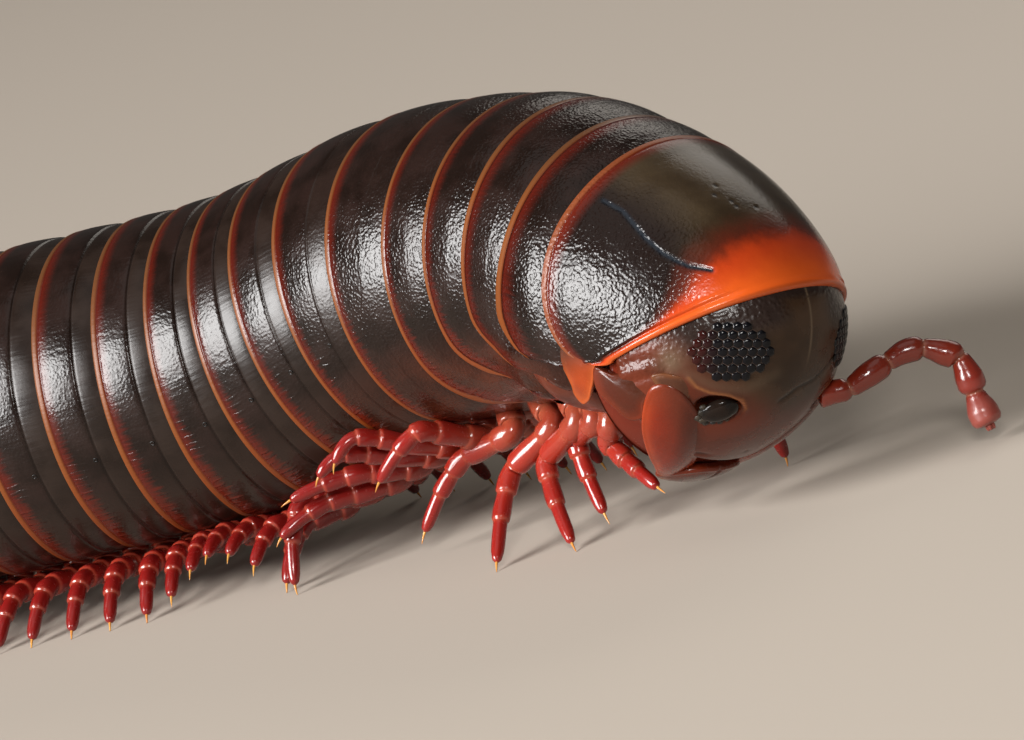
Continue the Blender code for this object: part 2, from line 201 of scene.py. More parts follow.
def closed_curve(corners, count):
    """Smooth loop through corner points: the smooth curve over three turns, its middle turn kept."""
    corners = np.asarray(corners, float)
    steps = np.linalg.norm(np.roll(corners, -1, axis=0) - corners, axis=1)
    around = steps.sum()
    once = np.concatenate([[0.0], np.cumsum(steps)[:-1]])
    stations = np.concatenate([once - around, once, once + around])
    return smooth_path(stations, np.vstack([corners] * 3), np.linspace(0.0, around, count, endpoint=False))


def distance_to_line(points, corners):
    """Shortest distance from points to a line of straight runs through corner points."""
    corners = np.asarray(corners, float)
    best = np.full(points.shape[:-1], np.inf)
    for start, end in zip(corners, corners[1:]):
        run = end - start
        share = np.clip(((points - start) @ run) / (run @ run), 0.0, 1.0)
        best = np.minimum(best, np.linalg.norm(points - start - share[..., None] * run, axis=-1))
    return best


# Meshes

def patch(points, inside, wrap=True, close_start=False, close_end=False, uv=None, **masks):
    """One grid of points, rows by columns, with a point inside it and its masks."""
    return {
        "points": points, "inside": inside, "wrap": wrap, "close_start": close_start,
        "close_end": close_end, "uv": uv, "masks": masks,
    }


def sealed(points, inside, **masks):
    """A grid of points that closes at both ends."""
    return patch(points, inside, close_start=True, close_end=True, **masks)


def circles(centre, radius, turn, first, second):
    """Points round centres, at angles from the first axis towards the second."""
    return centre + radius[..., None] * (np.cos(turn)[..., None] * first + np.sin(turn)[..., None] * second)


def round_shape(rows, columns, tip):
    """A unit sphere in circles round its first axis, which stop a small angle short of its ends."""
    fall = np.linspace(tip, math.pi - tip, rows)[:, None]
    turn = circle(columns)
    x = np.cos(fall) + 0 * turn
    return np.stack([x, np.sin(fall) * np.cos(turn), np.sin(fall) * np.sin(turn)], axis=-1)


def add_object(name, data, axes=None, place=None):
    """A new object; its right, up and back axes and its place in mm are given where it has them."""
    thing = bpy.data.objects.new(name, data)
    bpy.context.scene.collection.objects.link(thing)
    if axes is not None:
        matrix = np.eye(4)
        matrix[:3] = np.column_stack([*axes, place * MM])
        thing.matrix_world = Matrix(matrix.tolist())
    return thing


def patch_corners(grid, start):
    """Quads of a grid and fans on its closed ends, turned so that they face away from inside."""
    rows, columns = grid["points"].shape[:2]
    here = np.arange(columns if grid["wrap"] else columns - 1)
    there = (here + 1) % columns
    row = np.arange(rows - 1)[:, None] * columns
    quads = np.stack([row + here, row + there, row + columns + there, row + columns + here], axis=-1)
    quads = quads.reshape(-1, 4)
    flat = grid["points"].reshape(-1, 3)
    corner = flat[quads]
    normal = np.cross(corner[:, 2] - corner[:, 0], corner[:, 3] - corner[:, 1])
    inside = np.asarray(grid["inside"], float)
    if inside.ndim == 2:
        inside = np.repeat((inside[1:] + inside[:-1]) / 2, len(here), axis=0)
    outward = np.sum(normal * (corner.mean(axis=1) - inside)) > 0
    fans = []
    extra = []
    for closed, base, turn in ((grid["close_start"], 0, -1), (grid["close_end"], (rows - 1) * columns, 1)):
        if closed:
            hub = len(flat) + len(extra)
            extra.append(flat[base:base + columns].mean(axis=0))
            ring = np.stack([base + here, base + there][::turn], axis=-1)
            fans.append(np.column_stack([ring, np.full(len(ring), hub)]))
    triangles = np.vstack(fans) if fans else np.zeros((0, 3), int)
    order = slice(None) if outward else slice(None, None, -1)
    return quads[:, order] + start, triangles[:, order] + start, np.array(extra).reshape(-1, 3), order


def make_piece(name, grids, material, stands_for=()):
    """One mesh object from grids of points in mm, riding on the body, with its masks as attributes."""
    points, quads, triangles, uv_rows = [], [], [], []
    masks = {key: [] for key in grids[0]["masks"]}
    start = 0
    for grid in grids:
        rows, columns = grid["points"].shape[:2]
        four, three, extra, order = patch_corners(grid, start)
        points += [grid["points"].reshape(-1, 3), extra]
        quads.append(four)
        triangles.append(three)
        for key, rows_of_values in masks.items():
            values = np.broadcast_to(grid["masks"][key], (rows, columns))
            rows_of_values.append(values.ravel())
            rows_of_values.append(np.full(len(extra), values[0].mean()))
        if grid["uv"] is not None:
            uv = grid["uv"]
            corner_uv = np.stack([uv[:-1, :-1], uv[:-1, 1:], uv[1:, 1:], uv[1:, :-1]], axis=2)
            uv_rows.append(corner_uv.reshape(-1, 4, 2)[:, order])
        start += rows * columns + len(extra)
    points = np.vstack(points) * MM
    quads = np.vstack(quads)
    triangles = np.vstack(triangles)
    mesh = bpy.data.meshes.new(name)
    mesh.vertices.add(len(points))
    mesh.vertices.foreach_set("co", points.ravel())
    corners = np.concatenate([quads.ravel(), triangles.ravel()])
    mesh.loops.add(len(corners))
    mesh.loops.foreach_set("vertex_index", corners.astype(np.int32))
    starts = np.concatenate([np.arange(len(quads)) * 4, len(quads) * 4 + np.arange(len(triangles)) * 3])
    mesh.polygons.add(len(starts))
    mesh.polygons.foreach_set("loop_start", starts.astype(np.int32))
    mesh.update(calc_edges=True)
    mesh.polygons.foreach_set("use_smooth", np.ones(len(starts), bool))
    for key, rows_of_values in masks.items():
        layer = mesh.attributes.new(key, "FLOAT", "POINT")
        layer.data.foreach_set("value", np.concatenate(rows_of_values).astype(np.float32))
    if uv_rows:
        layer = mesh.uv_layers.new(name="Girth")
        flat = np.zeros((len(corners), 2), np.float32)
        flat[:len(quads) * 4] = np.vstack(uv_rows).reshape(-1, 2)
        layer.data.foreach_set("uv", flat.ravel())
    mesh.materials.append(material)
    piece = add_object(name, mesh)
    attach(piece, "root")
    if stands_for:
        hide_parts(*stands_for)


# Shader nodes

class Tree:
    """Short ways to add and join nodes in one node tree."""

    def __init__(self, tree):
        self.tree = tree

    def add(self, kind, inputs=None, **settings):
        """A node of the given kind; inputs are socket names or numbers with a value or a socket."""
        node = self.tree.nodes.new(kind)
        for key, value in settings.items():
            setattr(node, key, value)
        for key, value in (inputs or {}).items():
            if isinstance(value, bpy.types.NodeSocket):
                self.tree.links.new(value, node.inputs[key])
            else:
                node.inputs[key].default_value = value
        return node

    def math(self, operation, first, *rest):
        """The operation on the first value and each of the others in turn."""
        for value in rest:
            first = self.add("ShaderNodeMath", {0: first, 1: value}, operation=operation).outputs[0]
        return first

    def times(self, *values):
        return self.math("MULTIPLY", *values)

    def plus(self, *values):
        return self.math("ADD", *values)

    def minus(self, *values):
        return self.math("SUBTRACT", *values)

    def larger(self, *values):
        return self.math("MAXIMUM", *values)

    def band(self, value, low, high, start=0.0, stop=1.0):
        """Smooth step of a value from start at low to stop at high."""
        inputs = {"Value": value, "From Min": low, "From Max": high, "To Min": start, "To Max": stop}
        return self.add("ShaderNodeMapRange", inputs, interpolation_type="SMOOTHSTEP").outputs[0]

    def fade(self, value, low, high):
        """Smooth step of a value from 1 at low to 0 at high."""
        return self.band(value, low, high, 1.0, 0.0)

    def mix(self, share, *colours):
        """Colour between two colours, each a socket or red, green and blue."""
        first, second = (c if isinstance(c, bpy.types.NodeSocket) else (*c, 1.0) for c in colours)
        return self.add("ShaderNodeMix", {0: share, 6: first, 7: second}, data_type="RGBA").outputs[2]

    def layers(self, colour, *coats):
        """A colour with coats over it, each a mask and a colour."""
        for share, over in coats:
            colour = self.mix(share, colour, over)
        return colour

    def noise(self, vector, scale, detail=3.0, roughness=0.5):
        inputs = {"Vector": vector, "Scale": scale, "Detail": detail, "Roughness": roughness}
        return self.add("ShaderNodeTexNoise", inputs).outputs[0]


def node_group(name, numbers, output):
    """A node group that takes a vector and named numbers and gives one number."""
    tree = bpy.data.node_groups.new(name, "ShaderNodeTree")
    tree.interface.new_socket("Vector", in_out="INPUT", socket_type="NodeSocketVector")
    for label, value in numbers.items():
        tree.interface.new_socket(label, in_out="INPUT", socket_type="NodeSocketFloat").default_value = value
    tree.interface.new_socket(output, in_out="OUTPUT", socket_type="NodeSocketFloat")
    t = Tree(tree)
    return t, t.add("NodeGroupInput").outputs, t.add("NodeGroupOutput").inputs[0]


def leathery_grain():
    """Height of crowded fine bumps over soft wrinkles, as on thick chitin."""
    t, given, result = node_group("Leathery grain", {"Bumps per mm": 9.0, "Wrinkle share": 0.5}, "Height")
    share = given["Wrinkle share"]
    scale = t.math("DIVIDE", given["Bumps per mm"], MM)
    cells = t.add("ShaderNodeTexVoronoi", {"Vector": given["Vector"], "Scale": scale}, feature="SMOOTH_F1")
    domes = t.fade(cells.outputs["Distance"], 0.1, 0.62)
    wrinkles = t.band(t.noise(given["Vector"], t.times(scale, 0.5)), 0.34, 0.62)
    t.tree.links.new(t.plus(t.times(domes, t.minus(1.0, share)), t.times(wrinkles, share)), result)
    return t.tree


def mottle():
    """Cloudy mask for uneven colour."""
    t, given, result = node_group("Mottle", {"Clouds per mm": 0.8}, "Mask")
    broad = t.noise(given["Vector"], t.math("DIVIDE", given["Clouds per mm"], MM), 4.0)
    t.tree.links.new(t.band(broad, 0.35, 0.65), result)
    return t.tree


GRAIN = leathery_grain()
MOTTLE = mottle()


class Look(Tree):
    """A material; what is even over the surface is set on the shader itself."""

    def __init__(self, name, specular, coat=0.0, coat_roughness=0.1):
        self.material = bpy.data.materials.new(name)
        self.material.use_nodes = True
        super().__init__(self.material.node_tree)
        self.shader = self.tree.nodes["Principled BSDF"]
        self.place = self.add("ShaderNodeTexCoord").outputs["Object"]
        self.set({"Specular IOR Level": specular, "Coat Weight": coat, "Coat Roughness": coat_roughness})

    def set(self, values):
        for key, value in values.items():
            self.shader.inputs[key].default_value = value

    def masks(self, *names):
        return [self.add("ShaderNodeAttribute", attribute_name=name).outputs["Fac"] for name in names]

    def clouds(self, per_mm):
        inputs = {"Vector": self.place, "Clouds per mm": per_mm}
        return self.add("ShaderNodeGroup", inputs, node_tree=MOTTLE).outputs[0]

    def grain(self, per_mm, wrinkles):
        inputs = {"Vector": self.place, "Bumps per mm": per_mm, "Wrinkle share": wrinkles}
        return self.add("ShaderNodeGroup", inputs, node_tree=GRAIN).outputs[0]

    def specks(self, per_mm, detail=3.0):
        """Noise with the given number of blobs per millimetre."""
        return self.noise(self.place, per_mm / MM, detail, 0.55)

    def wire(self, colour, roughness, height, depth):
        """Joins a colour, a roughness and a bump height, its depth in mm, to the shader."""
        bump = self.add("ShaderNodeBump", {"Height": height, "Distance": depth * MM}).outputs[0]
        for key, socket in (("Base Color", colour), ("Roughness", roughness), ("Normal", bump)):
            self.tree.links.new(socket, self.shader.inputs[key])
        return self.material

    def polish(self, colour, per_mm, smooth, rough, depth, detail=3.0, dull=None):
        """Finishes a glossy material: fine specks that vary the roughness and the height."""
        fine = self.specks(per_mm, detail)
        roughness = self.band(fine, 0.3, 0.7, smooth, rough)
        return self.wire(colour, roughness if dull is None else self.plus(roughness, dull), fine, depth)


def shell_material():
    """Ring shell: dark front band, black-brown hind band, dark red glow and amber hind rim."""
    t = Look("Ring shell", 0.31)
    edge, low, part, fore, throat = t.masks("edge", "low", "part", "fore", "throat")
    cloud = t.clouds(0.9)
    girth = t.add("ShaderNodeUVMap", uv_map="Girth").outputs[0]
    streaks = t.add("ShaderNodeMapping", {"Vector": girth, "Scale": (1.0, 0.1, 1.0)}).outputs[0]
    hind_band = t.larger(t.band(part, 0.33, 0.4), fore)
    belly = t.band(low, 0.66, 0.86)
    wide = t.times(t.band(low, 0.55, 0.85), 0.16)
    ragged = t.times(t.minus(t.noise(streaks, 11.0, 2.0), 0.5), t.band(low, 0.35, 0.75, 0.18, 0.8))
    glow = t.fade(t.plus(t.minus(edge, wide), ragged), 0.18, 0.62)
    rim = t.fade(t.plus(t.minus(edge, t.times(wide, 0.2)), t.times(ragged, 0.03)), 0.1, 0.21)
    amber = t.layers(
        (0.085, 0.03, 0.009),
        (t.band(low, 0.05, 0.4), (0.145, 0.04, 0.007)),
        (t.band(low, 0.55, 0.8), (0.15, 0.032, 0.005)))
    fore_belly = t.mix(cloud, (0.024, 0.006, 0.003), (0.046, 0.01, 0.004))
    colour = t.layers(
        t.mix(cloud, (0.008, 0.004, 0.0025), (0.015, 0.0085, 0.006)),
        (hind_band, t.mix(cloud, (0.0065, 0.003, 0.002), (0.013, 0.006, 0.0045))),
        (belly, t.mix(fore, (0.018, 0.009, 0.006), fore_belly)),
        (glow, t.mix(belly, (0.06, 0.005, 0.002), (0.072, 0.008, 0.003))),
        (rim, amber),
        (throat, t.mix(cloud, (0.13, 0.018, 0.006), (0.24, 0.04, 0.012))))
    rough = t.plus(t.band(hind_band, 0.0, 1.0, 0.26, 0.2), t.times(cloud, 0.07))
    clear = t.band(edge, 0.1, 0.3)
    rugose = t.times(hind_band, clear, t.band(fore, 0.0, 1.0, 0.35, 1.0))
    turns = t.times(t.add("ShaderNodeSeparateXYZ", {0: girth}).outputs[0], 2.0 * math.pi / RIDGE_PITCH)
    ridges = t.band(t.math("SINE", t.plus(turns, t.times(t.specks(1.2), 9.0)), 0.0), 0.2, 1.0)
    lined = t.times(t.band(low, 0.52, 0.66), t.times(t.band(part, 0.5, 0.72), clear))
    lined = t.times(lined, t.band(t.specks(2.2), 0.38, 0.55))
    height = t.plus(
        t.times(t.grain(12.0, 0.3), t.plus(t.times(rugose, 0.9), 0.04)),
        t.times(ridges, 0.9, lined),
        t.times(t.noise(streaks, 7.0), 0.8, t.fade(fore, 0.0, 1.0)))
    return t.wire(colour, t.larger(rough, t.times(rim, 0.42)), height, 0.013)


def collum_material():
    """Collum: olive-black leather, broad orange-red front band, thin amber hind rim, blue-black crease."""
    t = Look("Collum shell", 0.34)
    band, edge, hind, crease, smooth = t.masks("band", "edge", "hind", "crease", "smooth")
    cloud = t.clouds(0.6)
    reach = t.plus(band, t.times(t.minus(t.specks(1.6), 0.5), 0.35))
    colour = t.layers(
        (0.007, 0.003, 0.002),
        (smooth, t.mix(cloud, (0.026, 0.016, 0.008), (0.044, 0.029, 0.015))),
        (t.fade(reach, 0.95, 1.75), (0.085, 0.012, 0.005)),
        (t.fade(reach, 0.78, 1.22), (0.38, 0.036, 0.006)),
        (t.fade(reach, 0.1, 0.9), (0.56, 0.08, 0.009)),
        (t.fade(edge, 0.04, 0.14), (0.37, 0.06, 0.01)),
        (t.fade(hind, 0.2, 0.7), (0.085, 0.008, 0.003)),
        (t.fade(hind, 0.12, 0.22), (0.16, 0.038, 0.01)),
        (crease, (0.01, 0.013, 0.018)))
    strength = t.times(
        t.band(smooth, 0.0, 1.0, 1.0, 0.22), t.band(edge, 0.1, 0.45), t.band(reach, 0.55, 1.2, 0.3, 1.0))
    rough = t.larger(t.plus(t.times(cloud, 0.07), 0.19), t.band(hind, 0.12, 0.22, 0.4, 0.0))
    return t.wire(colour, rough, t.times(t.grain(11.0, 0.45), strength), 0.0135)


def head_material():
    """Head capsule: olive-brown frons, black-brown temples, red-brown lower face, amber ridges, and painted
    shade in its sockets and grooves.
    """
    t = Look("Head capsule", 0.24)
    red, rugose, amber, dark, line, soft = t.masks("red", "rugose", "amber", "dark", "line", "soft")
    cloud = t.clouds(0.7)
    colour = t.layers(
        t.mix(cloud, (0.022, 0.011, 0.005), (0.042, 0.021, 0.01)),
        (rugose, (0.016, 0.009, 0.007)),
        (red, t.mix(cloud, (0.062, 0.012, 0.005), (0.1, 0.018, 0.007))),
        (soft, (0.11, 0.014, 0.006)),
        (amber, (0.2, 0.07, 0.022)),
        (line, (0.1, 0.068, 0.042)),
        # Painted shade in the sockets and grooves, from the dark mask
        (dark, (0.006, 0.005, 0.004)))
    pits = t.add("ShaderNodeTexVoronoi", {"Vector": t.place, "Scale": 1.6 / MM}).outputs["Distance"]
    height = t.plus(
        t.times(t.grain(8.0, 0.3), t.band(rugose, 0.0, 1.0, 0.1, 1.0)),
        t.times(t.band(pits, 0.05, 0.11), 0.35))
    return t.wire(colour, t.band(cloud, 0.0, 1.0, 0.22, 0.32), height, 0.014)


def plate_material(name, middle, rim, far):
    """Glossy plate: colour from the middle to the rim, and another on its far side and in its clouds."""
    t = Look(name, 0.24, 0.12, 0.06)
    out, far_side = t.masks("out", "far")
    colour = t.layers(
        middle,
        (t.band(out, 0.5, 1.0), rim),
        (t.band(far_side, 0.0, 1.0), far),
        (t.times(t.clouds(1.2), 0.25), far))
    return t.polish(colour, 6.0, 0.18, 0.3, 0.006, detail=4.0)


def leg_material():
    """Legs: translucent orange at the root, deep glossy red to the foot."""
    t = Look("Leg chitin", 0.4, 0.3, 0.06)
    t.set({"Subsurface Weight": 0.2, "Subsurface Radius": (1.0, 0.28, 0.12), "Subsurface Scale": 0.35 * MM})
    along, front, joint = t.masks("along", "front", "joint")
    foot = t.mix(front, (0.17, 0.007, 0.006), (0.22, 0.01, 0.007))
    colour = t.layers(
        t.mix(front, (0.22, 0.022, 0.011), (0.26, 0.054, 0.026)),
        (t.band(along, 0.12, 0.5), t.mix(front, (0.21, 0.01, 0.008), (0.27, 0.021, 0.011))),
        (t.band(along, 0.5, 0.85), foot),
        (t.times(t.clouds(1.5), 0.3), foot),
        (t.times(joint, 0.22), (0.42, 0.11, 0.05)))
    return t.polish(colour, 7.0, 0.16, 0.28, 0.004)


def antenna_material():
    """Antenna: dark maroon glossy articles, paler joints, a dull pink last article."""
    t = Look("Antenna chitin", 0.5, 0.3, 0.07)
    along, joint = t.masks("along", "joint")
    colour = t.layers(
        (0.2, 0.02, 0.008),
        (t.band(along, 0.0, 0.2), (0.15, 0.015, 0.006)),
        (t.band(along, 0.62, 0.8), (0.19, 0.02, 0.012)),
        (t.band(along, 0.82, 0.9), (0.22, 0.042, 0.03)),
        (t.times(joint, 0.6), (0.26, 0.1, 0.06)))
    return t.polish(colour, 9.0, 0.14, 0.26, 0.008, dull=t.times(t.band(along, 0.8, 0.9), 0.15))


def gloss_material(name, colour, tint, roughness, depth=0.003, specular=0.3):
    """Even glossy chitin with a little cloudiness."""
    t = Look(name, specular, specular / 3, 0.05)
    return t.polish(t.mix(t.times(t.clouds(2.0), 0.6), colour, tint), 8.0, roughness, roughness + 0.1, depth)


def eye_material():
    """Ocelli: black glass domes, dark red at the outer corner, on a grey-brown bed whose pale lines between
    the lenses are partly painted highlight.
    """
    t = Look("Eye", 0.2)
    outer, bed = t.masks("outer", "bed")
    # The bed's pale grey-brown is partly its own colour and partly painted highlight, the light off the
    # slopes between the lenses
    colour = t.layers((0.003, 0.003, 0.004), (outer, (0.024, 0.004, 0.003)), (bed, (0.06, 0.04, 0.032)))
    return t.polish(colour, 9.0, 0.1, 0.16, 0.001)


SHELL = shell_material()
COLLUM = collum_material()
HEAD = head_material()
STIPES = plate_material(
    "Mandible plate", (0.155, 0.014, 0.004), (0.235, 0.028, 0.006), (0.076, 0.014, 0.006))
CHEEK = plate_material("Cheek plate", (0.06, 0.01, 0.004), (0.12, 0.016, 0.005), (0.042, 0.014, 0.007))
CARDO = plate_material("Hinge plate", (0.055, 0.018, 0.008), (0.13, 0.045, 0.018), (0.05, 0.016, 0.008))
LOBE = plate_material("Ring lobe", (0.28, 0.038, 0.006), (0.36, 0.064, 0.011), (0.05, 0.014, 0.006))
LEG = leg_material()
CLAW = gloss_material("Claw", (0.55, 0.27, 0.06), (0.42, 0.12, 0.03), 0.15)
ANTENNA = antenna_material()
EYE = eye_material()
SCAB = gloss_material("Stump scab", (0.003, 0.003, 0.003), (0.016, 0.009, 0.006), 0.08, specular=0.15)
CRUST = gloss_material("Stump crust", (0.006, 0.006, 0.006), (0.05, 0.035, 0.02), 0.4, 0.03)
# Throat skin: its dark red-brown is partly its own colour and partly painted shade under the head and the
# rings
THROAT_IN_SHADE = gloss_material("Throat skin in painted shade", (0.06, 0.01, 0.004), (0.11, 0.02, 0.007), 0.3, 0.01)
PORE = gloss_material("Pore", (0.002, 0.002, 0.002), (0.006, 0.004, 0.003), 0.3)


# Rings

# One ring in section, from its tucked front to its hind lip: share of the exposed length,
# millimetres added to that, height over the body's radius, and that height on the smooth front rings
RING_SECTION = (
    (0.0, -0.45, -0.215, -0.215), (0.0, -0.1, -0.205, -0.205), (0.0, 0.02, -0.195, -0.19),
    (0.08, 0.0, -0.15, -0.13), (0.2, 0.0, -0.105, -0.07), (0.3, 0.0, -0.083, -0.03),
    (0.35, -0.035, -0.08, -0.015), (0.35, 0.0, -0.088, -0.01), (0.35, 0.04, -0.058, -0.004),
    (0.35, 0.09, -0.03, 0.004), (0.45, 0.05, -0.012, 0.012), (0.6, 0.0, 0.004, 0.02),
    (0.75, 0.0, 0.012, 0.016), (0.88, 0.0, 0.004, 0.004), (1.0, -0.25, -0.008, -0.008),
    (1.0, -0.21, -0.018, -0.016), (1.0, -0.17, -0.006, -0.006), (1.0, -0.1, 0.0, 0.0),
    (1.0, -0.03, -0.006, -0.006), (1.0, 0.012, -0.03, -0.03), (1.0, 0.026, -0.066, -0.066),
    (1.0, 0.012, -0.105, -0.105), (1.0, -0.04, -0.132, -0.132), (1.0, -0.16, -0.15, -0.15),
    (1.0, -0.4, -0.15, -0.15),
)
SECTION_STEPS = 2
FORE_RINGS = (5.0, 9.0)
BELLY_FLATTENING = 0.035

# How the hind edges run forward on the lower sides, for the collum and the rings after it: the turn
# from the top in degrees where an edge starts to, the turn where it has, and how far in mm
EDGE_SWEEPS = (
    (53.0, 106.0, 2.1), (104.0, 120.0, 2.7), (109.0, 130.5, 3.2), (118.0, 144.0, 3.6),
    (122.0, 163.0, 3.3), (120.0, 150.0, 0.6), (120.0, 150.0, 0.25),
)
EDGE_LEAN = 4.0
THROAT_SINK = (0.6, 0.55, 0.45, 0.3, 0.12)
THROAT_FADE = 15.0

# How the first rings close in under the collum's dome: stations are counted headwards
ONTO_DOME_STATIONS = (-3.6, 0.2)
SHELTER_STATIONS = (-1.2, 0.2)
RING_SHELTER = 0.14
DOME_CLEARANCE = 0.02
DOME_END = 1.4


def ring_section(length, fore):
    """Distances behind the ring ahead and heights along one ring, a smooth curve by corner number."""
    corners = np.array(RING_SECTION)
    number = np.arange(len(corners))
    at = np.linspace(0.0, number[-1], number[-1] * SECTION_STEPS + 1)
    along = smooth_curve(number, corners[:, 0] * length + corners[:, 1], at)
    height = corners[:, 2] + (corners[:, 3] - corners[:, 2]) * fore
    return along, smooth_curve(number, height, at)


def edge_sweep(number, degrees):
    """How far an edge runs forward at a turn from the top: a quarter circle from its start to its end."""
    if number >= len(EDGE_SWEEPS):
        return np.zeros_like(degrees)
    start, end, reach = EDGE_SWEEPS[number]
    share = np.clip((degrees - start) / (end - start), 0.0, 1.0)
    return reach * (1.0 - np.sqrt(1.0 - share ** 2)) * (1.0 - 0.6 * ramp(degrees, 150.0, 180.0))


def dome_reach(station, turn):
    """Distance from the axis to the dome at a station and turn: the ellipse of the section, solved."""
    squeeze = np.sqrt(np.clip(1.0 - ((-station - DOME_CENTRE[0]) / DOME_RADII[0]) ** 2, 0.02, None))
    across, tall = DOME_RADII[1] * squeeze, DOME_RADII[2] * squeeze
    a = (np.cos(turn) / across) ** 2 + (np.sin(turn) / tall) ** 2
    b = -2.0 * np.sin(turn) * DOME_CENTRE[2] / tall ** 2
    c = (DOME_CENTRE[2] / tall) ** 2 - 1.0
    return (-b + np.sqrt(b * b - 4.0 * a * c)) / (2.0 * a)


def girth_uv(radius, stations):
    """Places round the girth and along the body in mm, for the corners of a ring's faces."""
    girth = np.linspace(0.0, 2 * math.pi, RING_COLUMNS + 1) * radius
    return np.stack(np.broadcast_arrays(girth, stations[:, None]), axis=-1)


def ring_patch(ring):
    """One ring of the shell: the section carried round the body line, turns by columns."""
    front, back = EDGES[ring - 2], EDGES[ring - 1]
    fore = 1.0 - float(ramp(ring, *FORE_RINGS))
    along, height = ring_section(back - front, fore)
    turn = circle(RING_COLUMNS)[None, :] - math.pi / 2
    low = (1.0 - np.sin(turn)) / 2
    degrees = np.degrees(np.arccos(np.sin(turn)))
    share = np.clip(along / (back - front), 0.0, 1.0)[:, None]
    sweep = edge_sweep(ring - 2, degrees) * (1.0 - share) + edge_sweep(ring - 1, degrees) * share
    station = front + along[:, None] - sweep
    lean = EDGE_LEAN * np.maximum(sweep - 1.0, 0.0) * (1.0 - ramp(degrees, 150.0, 180.0))
    away = np.radians(degrees - lean)
    turn = np.arctan2(np.cos(away), np.sign(np.cos(turn)) * np.sin(away))
    radius = body_radius(station)
    sunk = np.zeros_like(low)
    if ring - 2 < len(THROAT_SINK):
        sink = THROAT_SINK[ring - 2]
        border = EDGE_SWEEPS[ring - 1][1] + 2.0
        sunk = ramp(degrees, border, border + THROAT_FADE)
        under = DOME_CLEARANCE + RING_SHELTER * (ring - 2) * ramp(-station, *SHELTER_STATIONS)
        reach = dome_reach(np.minimum(station, DOME_END), turn) - under
        radius = radius + (reach - radius) * ramp(-station, *ONTO_DOME_STATIONS) - sink * sunk
        sunk = sunk * min(1.0, 2.0 * sink)
    centre, _, left, up = body_frames(station)
    radius = (radius + height[:, None]) * (1.0 - BELLY_FLATTENING * ramp(low, 0.93, 1.0))
    points = circles(centre, radius, turn, left, up)
    inside = body_frames(front + np.clip(along, 0.0, back - front) - float(ring == 2) * 0.8)[0]
    return patch(
        points, inside, close_start=ring == 2, uv=girth_uv(body_radius(back), front + along),
        edge=np.maximum(back - front - along, 0.0)[:, None],
        part=share, low=low, fore=fore, throat=sunk)


# Defence pores: the first ring that has them, their place on it, their turn up from the side in
# degrees, and the rim's radii and rises in section
FIRST_PORE_RING = 6
PORE_SHARE = 0.42
PORE_TURN = -14.0
PORE_SIZES = (0.085, 0.075, 0.052, 0.038, 0.03)
PORE_RISES = (-0.03, 0.012, 0.018, 0.0, -0.06)


def pores(first_ring, last_ring):
    """Defence pores: a small raised rim round a hole, one on each side of a ring."""
    grids = []
    turn = math.radians(PORE_TURN)
    for ring in range(max(first_ring, FIRST_PORE_RING), last_ring):
        station = EDGES[ring - 2] + (EDGES[ring - 1] - EDGES[ring - 2]) * PORE_SHARE
        centre, forward, left, up = body_frames(station)
        for side in (-1.0, 1.0):
            outward = side * math.cos(turn) * left + math.sin(turn) * up
            spot = centre + outward * (body_radius(station) - 0.02)
            middles = spot + np.outer(PORE_RISES, outward)
            points = circles(middles[:, None], np.array(PORE_SIZES)[:, None], circle(12), forward,
                             np.cross(forward, outward))
            grids.append(patch(points, spot - outward, close_end=True))
    return grids


# Legs

ROOT_LATERAL = 0.55
ROOT_DEPTH = 0.86
FIRST_RING_WITH_TWO_PAIRS = 6
LEGLESS_TAIL_RINGS = 3
LEG_PLACES_ON_RING = (0.27, 0.75)
SINGLE_LEG_PLACE = (0.5,)
WAVE_LEGS = 11
WAVE_SWING = 0.55
WAVE_LIFT = 1.5
KNEE_REACH = 2.9
KNEE_HEIGHT = 0.7
KNEE_SHARE_OF_BELLY = 0.55
KNEE_SHARE_OF_LIFT = 0.3
TIP_REACH = 5.2
TIP_TUCK_PER_BELLY = 0.35

# Front legs of the right side: knee and tip as station, reach and height
POSED_LEGS = (
    ((2.3, 1.8, 2.7), (-0.2, 2.1, 1.25)),
    ((3.9, 1.8, 2.9), (2.5, 2.45, 0.5)),
    ((5.1, 2.25, 2.4), (3.0, 3.5, 0.0)),
    ((6.15, 2.8, 2.3), (5.0, 5.1, 0.0)),
    ((8.9, 2.3, 2.7), (10.7, 3.4, 0.6)),
    ((8.4, 4.1, 4.2), (10.3, 5.0, 2.75)),
    ((11.2, 4.5, 4.4), (12.0, 5.1, 3.5)),
    ((12.1, 4.4, 3.9), (13.0, 5.1, 3.2)),
    ((12.6, 3.3, 2.9), (15.0, 4.7, 2.7)),
    ((14.0, 3.6, 2.3), (15.6, 5.0, 1.6)),
    ((15.2, 3.7, 2.4), (15.3, 5.1, 0.0)),
)

# Where the posed legs' coxae end, ahead of their own stations, and how deep and how far out
COXA_AHEAD = (0.7, 1.0, 1.25, 1.35, 0.7, 0.2, 0.0, 0.0, 0.0, 0.0, 0.0)
COXA_DEPTH = 1.05
COXA_LATERAL = 0.9
COXA_CLEARANCE = 0.6
SHIN_BULGE = 0.07
LEG_ROUNDING = 0.3

